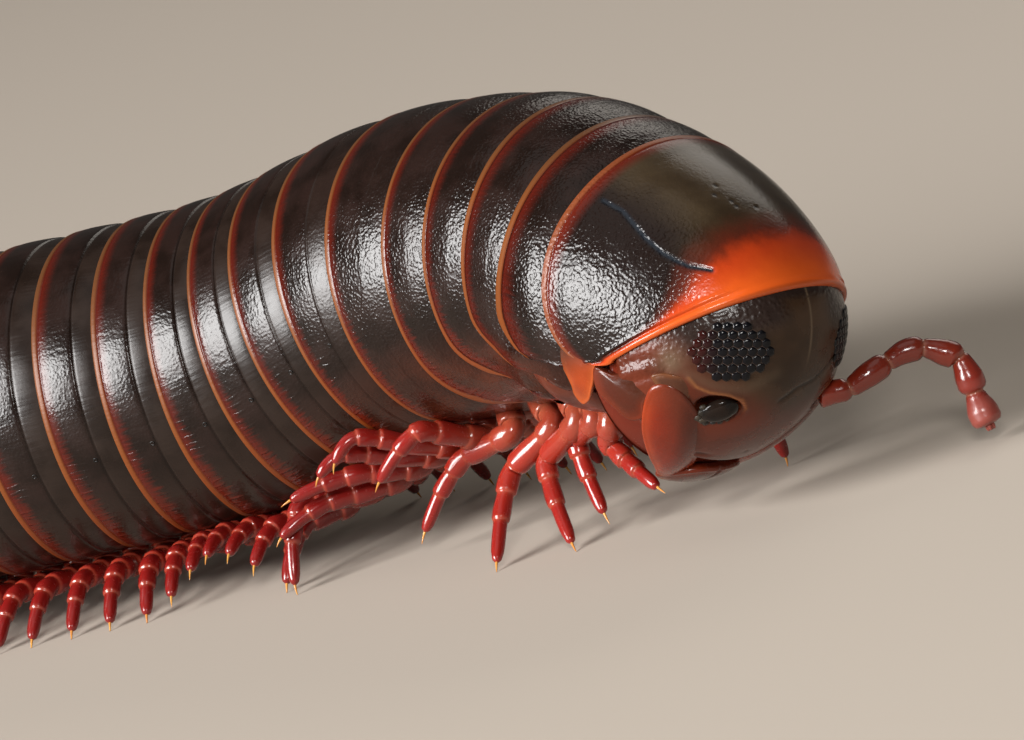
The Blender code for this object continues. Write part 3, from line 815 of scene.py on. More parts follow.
# Leg pieces from coxa to tarsus: where each ends along the leg, and the radius there
LEG_JOINTS = (0.0, 0.15, 0.33, 0.53, 0.67, 0.8, 1.0)
LEG_TAPER_AT = (0.0, 0.15, 0.33, 0.53, 0.67, 0.8, 0.9, 0.97, 0.99, 1.0)
LEG_TAPER = (0.42, 0.41, 0.385, 0.35, 0.305, 0.255, 0.21, 0.155, 0.11, 0.03)
LEG_COLUMNS = 12
JOINT_ROWS = np.array([-0.02, -0.01, -0.004, 0.0, 0.006, 0.014])
FOOT_ROWS = (0.984, 0.993, 0.997)
LEG_ROWS = np.unique(np.concatenate([
    np.linspace(0.0, 1.0, 41), (np.array(LEG_JOINTS[1:-1])[:, None] + JOINT_ROWS).ravel(), FOOT_ROWS]))
CLAW_LENGTH = 0.29
CLAW_RADIUS = 0.048
CLAW_HOOK = 0.1
FLOOR_GAP = 0.005
LOWEST_FOOT = 0.02

# Stations between which the legs change from the front's colours and plates to the trunk's
FRONT_LEG_STATIONS = (5.0, 14.0)
FULL_SIZE_STATION = 20.0
STERNITE_DEPTH = 0.93
STERNITE_TALL = 0.3
STERNITE_LONG = 0.42
STERNITE_WIDE = 1.15
FRONT_NARROWING = 0.45


def podomere_swell(along, joints):
    """Club shape of each leg piece, thin at its base and round-shouldered at its end, and its joints."""
    swell = np.ones_like(along)
    joint = np.zeros_like(along)
    for start, end in zip(joints, joints[1:]):
        share = (along - start) / (end - start)
        club = 0.85 + 0.19 * ramp(share, 0.0, 0.75) - 0.12 * ramp(share, 0.92, 1.0)
        inside = (share >= 0.0) & (share < 1.0)
        swell = np.where(inside, club, swell)
        joint = np.maximum(joint, bell(along - start, 0.012))
    return swell, joint


def beside(station, reach, height, side):
    """A point beside the body line: side is 1 for left and -1 for right."""
    centre, forward, _, _ = body_frames(station)
    level = unit(np.array([-forward[1], forward[0], 0.0]))
    return np.array([*(centre + side * reach * level)[:2], height])


def wave_leg(station, count, side):
    """Root, knee and tip of a leg in the walking wave, arched less where the belly is low."""
    centre, _, left, up = body_frames(station)
    radius = body_radius(station)
    root = centre - up * radius * ROOT_DEPTH + left * side * ROOT_LATERAL
    belly = (centre - up * radius)[2]
    phase = 2 * math.pi * count / WAVE_LEGS
    swing = WAVE_SWING * math.cos(phase)
    raised = max(0.0, math.sin(phase)) * WAVE_LIFT
    size = min(1.0, radius / RADIUS_MM[2])
    height = KNEE_HEIGHT + KNEE_SHARE_OF_BELLY * belly + KNEE_SHARE_OF_LIFT * raised
    knee = beside(station + swing / 2, KNEE_REACH * size, height, side)
    tip = beside(station + swing, (TIP_REACH - TIP_TUCK_PER_BELLY * belly) * size, raised, side)
    return root, knee, tip


def leg_stations():
    """Ring number and station of every leg pair, front to back."""
    pairs = []
    for ring in range(2, RING_COUNT - LEGLESS_TAIL_RINGS + 1):
        front, back = EDGES[ring - 2], EDGES[ring - 1]
        places = LEG_PLACES_ON_RING if ring >= FIRST_RING_WITH_TWO_PAIRS else SINGLE_LEG_PLACE
        pairs.extend((ring, front + (back - front) * place) for place in places)
    return pairs


def soft_corners(corners, at):
    """Places along a run of straight lines, its turns blended by soft steps of the arc length."""
    runs = np.diff(corners, axis=0)
    lengths = np.linalg.norm(runs, axis=1)
    ways = runs / lengths[:, None]
    at = at[:, None]
    path = corners[0] + at * ways[0]
    for start, before, after in zip(np.cumsum(lengths), ways, ways[1:]):
        past = (at - start + np.sqrt((at - start) ** 2 + LEG_ROUNDING ** 2)) / 2
        path = path + past * (after - before)
    return path


def tube(path, radius, across, columns, **masks):
    """Circles of the given radii round a path, closed at both ends and kept above the floor."""
    tangent = unit(np.gradient(path, axis=0))
    across = unit(across - tangent * (tangent @ across)[:, None])
    side = np.cross(across, tangent)
    points = circles(path[:, None], radius, circle(columns), across[:, None], side[:, None])
    points[..., 2] = np.maximum(points[..., 2], FLOOR_GAP)
    return sealed(points, path, **masks)


def leg_and_claw(root, coxa, knee, tip, size, front):
    """A leg along soft corners from root to foot, with its pieces' club shapes, and its hooked claw."""
    tip = np.array([tip[0], tip[1], max(tip[2], LOWEST_FOOT)])
    outer = unit(knee - (coxa + tip) / 2)
    shin = (knee + tip) / 2 + outer * np.linalg.norm(tip - knee) * SHIN_BULGE
    corners = np.stack([root, coxa, knee, shin, tip])
    across = unit(np.cross(knee - coxa, tip - knee))
    length = np.linalg.norm(np.diff(corners, axis=0), axis=1).sum()
    foot = length - CLAW_LENGTH * size
    u = LEG_ROWS[:, None]
    swell, joint = podomere_swell(u, LEG_JOINTS)
    radius = smooth_curve(LEG_TAPER_AT, LEG_TAPER, u) * swell * size
    path = soft_corners(corners, LEG_ROWS * foot)
    leg = tube(path, radius, across, LEG_COLUMNS, along=u, joint=joint, front=front)
    share = np.linspace(0.0, 1.0, 9)
    path = soft_corners(corners, foot - 0.1 * size + share * (length - foot + 0.1 * size))
    path = path - outer * (CLAW_HOOK * size * share ** 2)[:, None]
    claw = tube(path, (CLAW_RADIUS * size * (1.0 - 0.85 * share ** 1.5))[:, None], across, 8)
    return leg, claw


def coxa_end(root, station, side):
    """Where a coxa ends: below its root, a little outwards, and clear of the floor."""
    _, _, left, up = body_frames(station)
    drop = np.clip(root[2] - COXA_CLEARANCE, 0.1, body_radius(station) * (COXA_DEPTH - ROOT_DEPTH))
    return root - up * drop + left * side * (COXA_LATERAL - ROOT_LATERAL)


def sternite_patch(station, size, front):
    """The small plate between a pair of legs: a low ellipsoid half sunk in the belly."""
    centre, forward, left, up = body_frames(station)
    middle = centre - up * body_radius(station) * STERNITE_DEPTH
    wide = STERNITE_WIDE - FRONT_NARROWING * front
    half_axes = np.stack([-STERNITE_TALL * up, STERNITE_LONG * forward, wide * left]) * size
    return sealed(middle + round_shape(9, 16, 0.06) @ half_axes, middle, along=0.0, joint=0.0, front=front)


def leg_grids(first_ring, last_ring):
    """All legs and the plates between them under one length of the trunk, and all claws."""
    legs = []
    claws = []
    for count, (ring, station) in enumerate(leg_stations()):
        if not first_ring <= ring <= last_ring:
            continue
        front = 1.0 - ramp(station, *FRONT_LEG_STATIONS)
        size = min(1.0, body_radius(station) / RADIUS_MM[2]) if station > FULL_SIZE_STATION else 1.0
        for side in (1, -1):
            root, knee, tip = wave_leg(station, count, side)
            coxa = coxa_end(root, station, side)
            if side < 0 and count < len(POSED_LEGS):
                knee = beside(*POSED_LEGS[count][0], -1)
                tip = beside(*POSED_LEGS[count][1], -1)
                coxa = coxa + body_frames(station)[1] * COXA_AHEAD[count]
            leg, claw = leg_and_claw(root, coxa, knee, tip, size, front)
            legs.append(leg)
            claws.append(claw)
        legs.append(sternite_patch(station, size, front))
    return legs, claws


def make_trunk():
    """Shell, legs and pores of every length of the trunk; the shell stands for the solid."""
    first = 2
    for number, last in enumerate(TRUNK_LAST_RINGS, start=1):
        rings = [ring_patch(ring) for ring in range(first, last + 1)]
        make_piece(f"shell_{number}", rings, SHELL, [f"trunk_{number}"])
        legs, claws = leg_grids(first, last)
        make_piece(f"legs_{number}", legs, LEG)
        make_piece(f"claws_{number}", claws, CLAW)
        if last > FIRST_PORE_RING:
            make_piece(f"pores_{number}", pores(first, last + 1), PORE)
        first = last + 1


# Tail

# The last ring in section: shares of its length and of the body's radius; it is longest at its top
TELSON_SECTION = np.array((
    (-0.3, 0.93), (0.0, 0.945), (0.15, 0.955), (0.4, 0.945), (0.65, 0.9), (0.85, 0.83), (0.95, 0.775),
    (0.985, 0.745), (1.0, 0.725), (0.985, 0.7), (0.94, 0.69), (0.8, 0.69)))
TELSON_LENGTH = 1.5
LENGTH_BELOW = 0.86
LENGTH_ADDED_ABOVE = 0.42
POINT_NARROWING = 0.06
VALVE_LENGTH = 1.9
VALVE_SHARE_OF_RADIUS = 0.7
VALVE_LIP = 0.1
GAP = 0.1


def tail_hood():
    """The last ring, its hind edge drawn out to a blunt point above."""
    start = EDGES[-1]
    radius = body_radius(start)
    turn = circle(RING_COLUMNS)[None, :] - math.pi / 2
    top = ((1.0 + np.sin(turn)) / 2) ** 4
    number = np.arange(len(TELSON_SECTION))
    at = np.linspace(0.0, number[-1], 3 * len(number))
    along = smooth_curve(number, TELSON_SECTION[:, 0], at)[:, None]
    share = smooth_curve(number, TELSON_SECTION[:, 1], at)[:, None]
    length = TELSON_LENGTH * (LENGTH_BELOW + LENGTH_ADDED_ABOVE * top)
    centre, _, left, up = body_frames(start + along * length)
    reach = radius * share * (1.0 - POINT_NARROWING * top * ramp(along, 0.5, 1.0))
    inside = body_frames(start + np.clip(along[:, 0], 0, 1))[0]
    return patch(
        circles(centre, reach, turn, left, up), inside, uv=girth_uv(radius, start + along[:, 0]),
        edge=np.maximum((1.0 - along) * length, 0.0) * 1.3, part=np.clip(along, 0.45, 1.0),
        low=(1.0 - np.sin(turn)) / 2, fore=0.0, throat=0.0)


def tail_valve(side):
    """A valve under the hood: half an egg, lipped along the middle and closed by an inner wall."""
    centre, forward, left, up = body_frames(EDGES[-1] + TELSON_LENGTH + GAP)
    height = body_radius(EDGES[-1]) * VALVE_SHARE_OF_RADIUS
    fall = np.linspace(0.02, 2.1, 40)[:, None]
    swing = np.linspace(-math.pi / 2, math.pi / 2, 48)[None, :]
    inner = bell(np.cos(swing), 0.16)
    lateral = height * (np.cos(swing) * np.sin(fall)) + GAP / 2 + VALVE_LIP * inner * np.sin(fall)
    bulge = 1.0 + VALVE_LIP * bell(np.cos(swing) - 0.12, 0.1) * np.sin(fall)
    rise = height * np.sin(swing) * np.sin(fall)
    points = (centre - forward * (VALVE_LENGTH * np.cos(fall) * bulge)[..., None]
              + left * side * lateral[..., None] + up * rise[..., None])
    across = np.linspace(0.0, 1.0, 5)[None, :, None]
    wall = points[:, -1:] * (1 - across) + points[:, :1] * across
    wall = wall - left * side * (0.05 * np.sin(fall))[..., None]
    points = np.concatenate([points, wall[:, 1:-1]], axis=1)
    shade = np.concatenate([inner, np.ones((1, 3))], axis=1)
    return sealed(points, centre + left * side * height / 2,
                  edge=1.0 - 0.75 * shade, part=0.7, low=0.5, fore=0.0, throat=0.0)


def make_tail():
    """The last ring and the two valves under it."""
    make_piece("tail_hood", [tail_hood()], SHELL, ["preanal_ring"])
    for side, name in ((1.0, "left"), (-1.0, "right")):
        make_piece(f"tail_valve_{name}", [tail_valve(side)], SHELL, [f"anal_valve_{name}"])


# Collum

COLLUM_TURN = math.radians(106.5)
COLLUM_ROWS = 150
COLLUM_COLUMNS = 300
CORNER_MIDDLE = 1.95
HIND_BEND = math.radians(53.0)
FRONT_BEND = math.radians(102.0)
BAND_TURNS = (0.0, 25.0, 40.0, 55.0, 72.0, 88.0, 100.0, 110.0)
BAND_WIDTHS = (1.62, 1.62, 1.5, 1.15, 0.62, 0.3, 0.22, 0.3)
CREASE = (
    (0.66, 3.21, 2.72), (1.4, 3.1, 2.65), (1.89, 3.12, 2.47), (2.48, 3.12, 2.24), (3.13, 3.02, 2.03),
    (3.58, 2.85, 1.94), (3.89, 2.7, 1.89), (4.4, 2.31, 1.92),
)
PITS = ((2.44, 0.74, 3.54), (2.73, 1.0, 3.4), (3.12, 0.69, 3.33), (3.32, 0.67, 3.26), (3.51, 0.09, 3.24))

# Beads and grooves along the margins: height or depth, distance from the margin, and width
FRONT_BEAD = (0.035, 0.12, 0.13)
FRONT_GROOVE = (0.045, 0.3, 0.07)
SECOND_BEAD = (0.03, 0.42, 0.09)
HIND_GROOVE = (0.02, 0.22, 0.04)
HIND_BEAD = (0.008, 0.1, 0.08)

# Lips turned under at the margins: forward along the dome, and height
FRONT_LIP = ((0.035, -0.03), (0.05, -0.075), (0.035, -0.12), (-0.03, -0.16), (-0.6, -0.19))
HIND_LIP = ((-0.025, -0.03), (-0.035, -0.065), (-0.02, -0.1), (0.06, -0.13), (0.5, -0.14))


def relief(distance, height, place, width):
    """A ridge along a line: a bell curve of the distance from it."""
    return height * bell(distance - place, width)


def dome_point(x, turn, height=0.0):
    """Point of the dome at a place x on its long axis and a turn from the top, right positive."""
    shrink = np.sqrt(np.clip(1.0 - (x / DOME_RADII[0]) ** 2, 0.0, None))
    _, wide, tall = DOME_RADII
    local = np.stack([x, wide * shrink * np.sin(turn), tall * shrink * np.cos(turn)], axis=-1)
    return on_dome(DOME_CENTRE + local @ turned(DOME_TURN), height)


def front_margin(turn):
    """Place on the dome's long axis where the sloping margin plane cuts it, by halving."""
    low = np.full_like(turn, -2.0)
    high = np.full_like(turn, DOME_RADII[0] - 0.01)
    slope = math.radians(MARGIN_SLOPE)
    normal = np.array([-math.sin(slope), 0.0, math.cos(slope)])
    for _ in range(40):
        middle = (low + high) / 2
        above = (dome_point(middle, turn) - MARGIN_POINT) @ normal > 0
        low = np.where(above, middle, low)
        high = np.where(above, high, middle)
    return low


def collum_grid():
    """Collum: the dome between its hind and front margins, which close in to rounded corners."""
    turn = np.linspace(-COLLUM_TURN, COLLUM_TURN, COLLUM_COLUMNS)[None, :]
    size = np.abs(turn)
    middle = CORNER_MIDDLE - DOME_CENTRE[0]

    def closing(bend):
        share = np.clip(size - bend, 0.0, None) / (COLLUM_TURN - bend)
        return np.sqrt(np.clip(1.0 - share ** 2, 0.0, None))

    hind = -DOME_CENTRE[0] - 0.03
    hind = middle - (middle - hind) * closing(HIND_BEND)
    front = front_margin(turn)
    bent = front_margin(np.minimum(size, FRONT_BEND))
    front = np.where(size > FRONT_BEND, middle + (bent - middle) * closing(FRONT_BEND), front)
    share = np.linspace(0.0, 1.0, COLLUM_ROWS)[:, None]
    share = share - 0.085 * np.sin(2 * math.pi * share)
    x = hind + (front - hind) * share
    return turn, x, hind, front


def make_collum():
    """Collum shell with a bead along its front margin, a crease, pits, and lips turned under."""
    turn, x, hind, front = collum_grid()
    turns = np.broadcast_to(turn, x.shape)
    places = dome_point(x, turns)
    edge_curve = dome_point(front, turn)[0]
    hind_curve = dome_point(hind, turn)[0]
    edge = np.linalg.norm(places - edge_curve[None], axis=-1)
    back = np.linalg.norm(places - hind_curve[None], axis=-1)
    degrees = np.degrees(np.abs(turns))
    side = ramp(degrees, 38.0, 62.0)
    bead = relief(edge, *FRONT_BEAD) - relief(edge, *FRONT_GROOVE) * side + relief(edge, *SECOND_BEAD) * side
    rim = -relief(back, *HIND_GROOVE) + relief(back, *HIND_BEAD)
    crease_way = distance_to_line(places, CREASE)
    crease = bell(crease_way, 0.065)
    height = bead + rim - 0.035 * crease + 0.007 * bell(crease_way - 0.16, 0.08)
    pits = np.zeros_like(crease)
    for pit in PITS:
        pits = np.maximum(pits, bell(np.linalg.norm(places - np.array(pit), axis=-1), 0.06))
    height = height - 0.03 * pits
    rolling = 0.02 * np.sin(1.7 * x + 0.4) * np.sin(2.3 * turns + 1.1)
    height = height + rolling * ramp(edge, 0.3, 1.2) * ramp(back, 0.3, 1.0)
    outer = dome_point(x, turns, height)

    def lip(margin, steps):
        rows = [dome_point(margin + along, turn, np.full(turn.shape, drop))[0] for along, drop in steps]
        return np.stack(rows)

    front_lip = lip(front, FRONT_LIP)
    hind_lip = lip(hind, HIND_LIP)[::-1]
    points = np.concatenate([hind_lip, outer, front_lip])
    width = smooth_curve(BAND_TURNS, BAND_WIDTHS, degrees)

    def padded(values, first, last):
        top = np.full((len(hind_lip), values.shape[1]), first)
        return np.concatenate([top, values, np.full((len(front_lip), values.shape[1]), last)])

    smooth = ramp(x - 2.2 + 2.2 * np.cos(turns) ** 2, 3.2, 5.6) * (1.0 - ramp(degrees, 40.0, 58.0))
    smooth = np.maximum(smooth, 1.0 - ramp(degrees, 24.0, 46.0))
    grid = patch(
        from_head(points), NAPE, wrap=False,
        band=padded(edge / width, 9.0, 0.0), edge=padded(edge, 9.0, 0.0), hind=padded(back, 0.0, 9.0),
        crease=padded(np.clip(crease * 1.3 + pits * 0.9, 0.0, 1.0), 0.0, 0.0),
        smooth=padded(smooth, 0.0, 0.0))
    make_piece("collum_shell", [grid], COLLUM, ["collum"])


# Head

HEAD_ROWS = 230
HEAD_COLUMNS = 280
SOCKET = np.array([5.4, 2.05, -1.88])
SOCKET_LONG = 0.78
SOCKET_SHORT = 0.52
ORBIT = (
    (4.86, 2.9, -1.02), (5.01, 2.73, -1.22), (5.28, 2.41, -1.33), (5.59, 2.0, -1.34), (5.77, 1.59, -1.47),
    (5.77, 1.38, -1.75), (5.71, 1.4, -2.0),
)
CHEEK_FOLD = ((2.66, 3.88, -1.84), (3.27, 3.74, -1.41), (3.88, 3.52, -1.0), (4.09, 3.42, -0.93))
FACE_GROOVE = (
    (6.1, -1.75, -0.1), (6.17, -1.26, -0.42), (6.28, -0.6, -0.87), (6.28, 0.03, -1.1), (6.11, 0.44, -1.5),
)
PALE_CHEEK = np.array([4.35, 3.2, -0.65])
PALE_ARC = ((4.7, 3.0, -0.85), (5.3, 2.45, -1.1), (5.9, 1.7, -1.15), (6.35, 1.0, -0.6))
LIP_EDGE = ((4.3, 1.55, -3.6), (4.62, 1.0, -3.75), (4.82, 0.45, -3.75), (4.84, 0.0, -3.62))


def head_surface(places):
    """Height over the egg and colour masks at places on it: bells and steps about named features."""
    a, r, h = places[..., 0], places[..., 1], places[..., 2]
    height = np.zeros_like(a)
    amber = np.zeros_like(a)
    # dark: painted shade, darkening the sunk antenna sockets, the lip's groove and the face groove
    dark = np.zeros_like(a)
    line = bell(r, 0.035) * ramp(h, -0.6, 0.4) * 0.9
    socket_axis = unit(np.array([0.55, -0.82, 0.02]))
    for side in (1.0, -1.0):
        flip = np.array([1.0, side, 1.0])
        offset = places - SOCKET * flip
        along = offset @ (socket_axis * flip)
        across = np.sqrt(np.clip(np.sum(offset ** 2, axis=-1) - along ** 2, 0.0, None))
        reach = np.sqrt((along / SOCKET_LONG) ** 2 + (across / SOCKET_SHORT) ** 2)
        height = height - 0.34 * (1.0 - ramp(reach, 0.55, 1.0))
        # Painted shade inside the sunk socket
        dark = np.maximum(dark, 0.55 * (1.0 - ramp(reach, 0.5, 0.92)))
        orbit = distance_to_line(places, np.array(ORBIT) * flip)
        height = height + 0.035 * bell(orbit, 0.08)
        amber = np.maximum(amber, 0.8 * bell(orbit, 0.04))
        fold = distance_to_line(places, np.array(CHEEK_FOLD) * flip)
        height = height + 0.045 * bell(fold, 0.13) - 0.03 * bell(fold - 0.26, 0.09)
        lip = distance_to_line(places, np.array(LIP_EDGE) * flip)
        height = height - 0.05 * bell(lip, 0.07)
        # Painted shade along the lip's groove
        dark = np.maximum(dark, 0.7 * bell(lip, 0.05))
        pale = 0.75 * bell(np.linalg.norm(places - PALE_CHEEK * flip, axis=-1), 0.42)
        pale = np.maximum(pale, 0.3 * bell(distance_to_line(places, np.array(PALE_ARC) * flip), 0.2))
        line = np.maximum(line, pale)
    groove = distance_to_line(places, FACE_GROOVE)
    height = height - 0.035 * bell(groove, 0.07)
    # Painted shade in the face groove
    dark = np.maximum(dark, 0.75 * bell(groove, 0.075))
    below_margin = (places - MARGIN_POINT) @ np.array([0.7071, 0.0, -0.7071])
    rugose = (1.0 - ramp(below_margin, 0.7, 1.25)) * ramp(np.abs(r), 0.4, 1.1)
    rugose = np.maximum(rugose, 1.0 - ramp(below_margin, 0.15, 0.5))
    red = ramp(-h + 0.4 * np.abs(r) - 0.35 * (a - 4.0), 0.7, 2.1)
    behind = (places - CHIN_POINT) @ np.array([-0.901, 0.0, -0.434])
    soft = ramp(behind, -1.25, -0.85)
    height = height - 0.22 * soft
    return height, {"red": red, "rugose": rugose, "amber": amber, "dark": dark, "line": line, "soft": soft}


def make_head():
    """Head capsule: circles round the egg's long axis, cut off flat behind the mouthparts."""
    places = HEAD_CENTRE + round_shape(HEAD_ROWS, HEAD_COLUMNS, 0.015) * HEAD_RADII @ turned(HEAD_TURN)
    height, masks = head_surface(places)
    places = on_head(places, height)
    slope = math.radians(CHIN_SLOPE)
    back = np.array([-math.cos(slope), 0.0, -math.sin(slope)])
    places = places - np.maximum((places - CHIN_POINT) @ back, 0.0)[..., None] * back
    capsule = sealed(from_head(places), from_head(HEAD_CENTRE), **masks)
    make_piece("head_capsule", [capsule], HEAD, ["head"])


# Plates on the head

STIPES_OUTLINE = (
    (4.24, 3.29, -1.38), (4.02, 3.38, -1.54), (3.85, 3.36, -1.92), (3.75, 3.28, -2.35), (3.61, 3.05, -2.94),
    (3.48, 2.64, -3.58),
    (3.27, 2.01, -4.26), (3.02, 1.3, -4.75), (3.55, 0.95, -4.65), (4.25, 1.25, -3.85), (4.75, 1.75, -3.0),
    (4.96, 2.3, -2.2), (4.82, 2.76, -1.64), (4.66, 2.98, -1.43), (4.46, 3.15, -1.34),
)
CHEEK_OUTLINE = (
    (2.3, 3.95, -1.55), (2.42, 3.88, -2.1), (2.98, 3.6, -2.52), (3.39, 3.31, -2.75), (3.68, 3.2, -2.6),
    (3.8, 3.32, -2.1), (4.0, 3.38, -1.6), (4.05, 3.42, -1.15), (3.55, 3.62, -1.2), (2.9, 3.82, -1.55),
)
CARDO_OUTLINE = (
    (3.98, 3.44, -1.22), (4.2, 3.34, -1.08), (4.54, 3.14, -1.02), (4.84, 2.9, -1.08), (4.95, 2.74, -1.35),
    (4.8, 2.78, -1.7), (4.5, 3.0, -1.52), (4.15, 3.28, -1.48),
)
CHIN_OUTLINE = (
    (4.05, 0.0, -4.55), (3.95, 0.75, -4.5), (3.4, 1.3, -4.7), (2.9, 1.45, -4.8), (2.75, 0.9, -5.0),
    (2.72, 0.0, -5.1),
    (2.75, -0.9, -5.0), (2.9, -1.45, -4.8), (3.4, -1.3, -4.7), (3.95, -0.75, -4.5),
)
LOBE_OUTLINE = (
    (1.18, 4.42, -0.95), (1.14, 4.28, -1.45), (1.27, 4.1, -1.95), (1.45, 3.91, -2.42), (1.44, 3.7, -2.72),
    (1.6, 3.5, -2.95), (1.88, 3.58, -2.78), (2.1, 3.75, -2.35), (2.24, 3.88, -1.95), (2.28, 3.98, -1.5),
    (2.25, 4.05, -1.05), (1.8, 4.3, -0.8),
)
PLATE_COLUMNS = 120
PLATE_ROWS = 26


def plate_grid(outline, side, lift, crown, far_way=None, dive_way=None, dive=0.0,
               surface=on_head, furrow=0.0):
    """Low plate: shares of the way from its middle to its outline, crowned, with a rim that dips in.

    It darkens towards far_way and sinks by dive towards dive_way."""
    flip = np.array([1.0, side, 1.0])
    loop = closed_curve(np.asarray(outline, float), PLATE_COLUMNS) * flip
    middle = loop.mean(axis=0)
    share = np.concatenate([np.linspace(0.03, 1.0, PLATE_ROWS), (1.015, 1.018, 1.005, 0.95)])[:, None]
    drop = np.concatenate([np.zeros(PLATE_ROWS), (-0.035, -0.08, -0.13, -0.25)])[:, None]
    height = lift + drop + crown * (1.0 - np.minimum(share, 1.0) ** 3) + 0.02 * bell(share - 0.95, 0.05)
    spots = middle + (loop[None] - middle) * share[..., None]
    if furrow:
        height = height - furrow * bell(spots[..., 1], 0.05)
    far = 0.0 if far_way is None else np.clip((spots - middle) @ (far_way * flip) + 0.35, 0.0, 1.0)
    if dive_way is not None:
        height = height - dive * ramp((spots - middle) @ (dive_way * flip), 0.0, 0.5)
    points = surface(spots, np.broadcast_to(height, spots.shape[:2]))
    return patch(from_head(points), from_head(HEAD_CENTRE), close_start=True, out=share, far=far)


def make_plates():
    """Mandible, cheek and hinge plates, the chin plate, and the second ring's side lobes."""
    for side, word in ((1.0, "right"), (-1.0, "left")):
        stipes = plate_grid(STIPES_OUTLINE, side, 0.09, 0.1, (0.75, -0.35, 0.25), (0.32, -0.32, 0.0), 0.24)
        make_piece(f"mandible_plate_{word}", [stipes], STIPES, [f"mandible_{word}"])
        cheek = plate_grid(CHEEK_OUTLINE, side, 0.06, 0.05, (0.35, 0.0, 0.9), (0.35, 0.0, 0.9), 0.17)
        make_piece(f"cheek_plate_{word}", [cheek], CHEEK)
        cardo = plate_grid(CARDO_OUTLINE, side, 0.03, 0.05, (0.5, -0.3, -0.3), (0.5, -0.3, 0.3), 0.14)
        make_piece(f"hinge_plate_{word}", [cardo], CARDO)
        lobe = plate_grid(LOBE_OUTLINE, side, 0.02, 0.04, (-0.5, 0.1, 0.62), (0.0, 0.0, 0.9), 0.08, on_dome)
        make_piece(f"ring_lobe_{word}", [lobe], LOBE)
    chin = plate_grid(CHIN_OUTLINE, 1.0, 0.08, 0.12, furrow=0.06)
    make_piece("chin_plate", [chin], CHEEK, ["gnathochilarium"])


# Eyes

EYE_MIDDLE = np.array([5.55, 2.13, -0.06])
EYE_ROW_WAY = np.array([1.28, -1.59, 0.31])
EYE_HALF_LENGTH = 1.1
EYE_HALF_HEIGHT = 0.8
OCELLUS_PITCH = 0.272
OCELLUS_RISE = 0.056
OCELLUS_SHARE = 0.985
BED_SIZE = 1.06
RED_OCELLI = (0.35, 0.95)


def eye_grids(side):
    """Ocelli in a honeycomb on a low bed: each a dome on six sides, cosine in height."""
    flip = np.array([1.0, side, 1.0])
    middle = EYE_MIDDLE * flip
    outward = head_normal(middle)
    along = EYE_ROW_WAY * flip
    along = unit(along - outward * (along @ outward))
    rise = np.cross(along, outward) * (1.0 if side > 0 else -1.0)
    rise = rise * np.sign(rise[2])
    turn = circle(72)[:, None]
    share = np.concatenate([np.linspace(0.05, 1.0, 16), (1.03, 1.02)])[:, None, None]
    oval = EYE_HALF_LENGTH * np.cos(turn) * along + EYE_HALF_HEIGHT * np.sin(turn) * rise
    height = (0.012 - 0.06 * ramp(share, 0.86, 1.0) - 0.1 * ramp(share, 1.0, 1.03))[..., 0]
    spots = middle + BED_SIZE * oval[None] * share
    bed = on_head(spots, np.broadcast_to(height, spots.shape[:2]))
    # bed mask: where the pale bed, partly painted highlight, shows between the lenses; it fades at the bed's
    # margin
    grids = [patch(from_head(bed), from_head(HEAD_CENTRE), close_start=True,
                   bed=1.0 - 0.8 * ramp(share[..., 0], 0.82, 0.98), outer=0.0)]
    sides = circle(24)
    sector = (sides % (math.pi / 3)) - math.pi / 6
    hexagon = (1.0 / np.cos(sector)) ** 0.8
    fall = np.linspace(0.06, 1.0, 7)
    for row in range(-3, 4):
        for column in range(-5, 6):
            u = (column + 0.5 * (row % 2)) * OCELLUS_PITCH
            v = row * OCELLUS_PITCH * math.sqrt(3.0) / 2
            if (u / EYE_HALF_LENGTH) ** 2 + (v / EYE_HALF_HEIGHT) ** 2 > 0.98:
                continue
            spot = middle + along * u + rise * v
            size = OCELLUS_PITCH / 2 * OCELLUS_SHARE
            foot = size * hexagon[None] * np.sin(fall * math.pi / 2)[:, None] ** 0.9
            spots = circles(spot, foot, sides, rise, along)
            lift = OCELLUS_RISE * np.cos(fall * math.pi / 2)[:, None] + 0 * foot
            dome = on_head(spots, lift)
            outer = float(ramp(-u, *RED_OCELLI)) * 0.9
            grids.append(patch(from_head(dome), from_head(HEAD_CENTRE), close_start=True,
                               bed=0.0, outer=outer))
    return grids


# Feelers

ANTENNA_ROUTE = (
    (5.25, -1.95, -1.92), (5.5, -2.3, -1.78), (5.75, -2.65, -1.6), (5.95, -3.05, -1.2), (6.1, -3.6, -0.8),
    (6.3, -4.0, -0.46), (6.6, -4.4, -0.28), (7.0, -4.8, -0.3), (7.35, -5.1, -0.38),
    (7.7, -5.25, -0.78), (7.95, -5.35, -1.2), (8.25, -5.45, -1.6), (8.58, -5.55, -1.98),
)
# Articles: where each starts on the route, and its thin and thick radius
ARTICLES = (
    (0.0, 0.4, 0.34), (2.0, 0.29, 0.365), (4.0, 0.28, 0.355), (6.0, 0.28, 0.385), (8.0, 0.29, 0.415),
    (10.0, 0.29, 0.45),
)
ANTENNA_NECK = 0.235
STUMP_MIDDLE = np.array([5.35, 1.96, -1.95])
STUMP_WAY = np.array([0.67, -0.63, 0.53])
BRISTLE_TURNS = (0.4, 2.0, 3.5, 5.1)

# Crumbs of the crust: place along and across the stump, and size
CRUMBS = (
    (-0.52, 0.1, 0.15), (-0.44, -0.16, 0.13), (-0.62, -0.02, 0.12), (-0.3, 0.3, 0.11),
    (-0.12, 0.38, 0.09), (-0.36, -0.32, 0.1), (-0.5, 0.26, 0.1), (0.08, 0.4, 0.07),
)
CRUMB_SHAPE = np.array([1.0, 0.8, 0.7])

# Throat skin
THROAT_MIDDLE = np.array([-0.1, 0.0, -2.45])
THROAT_RADII = np.array([3.0, 3.82, 1.6])


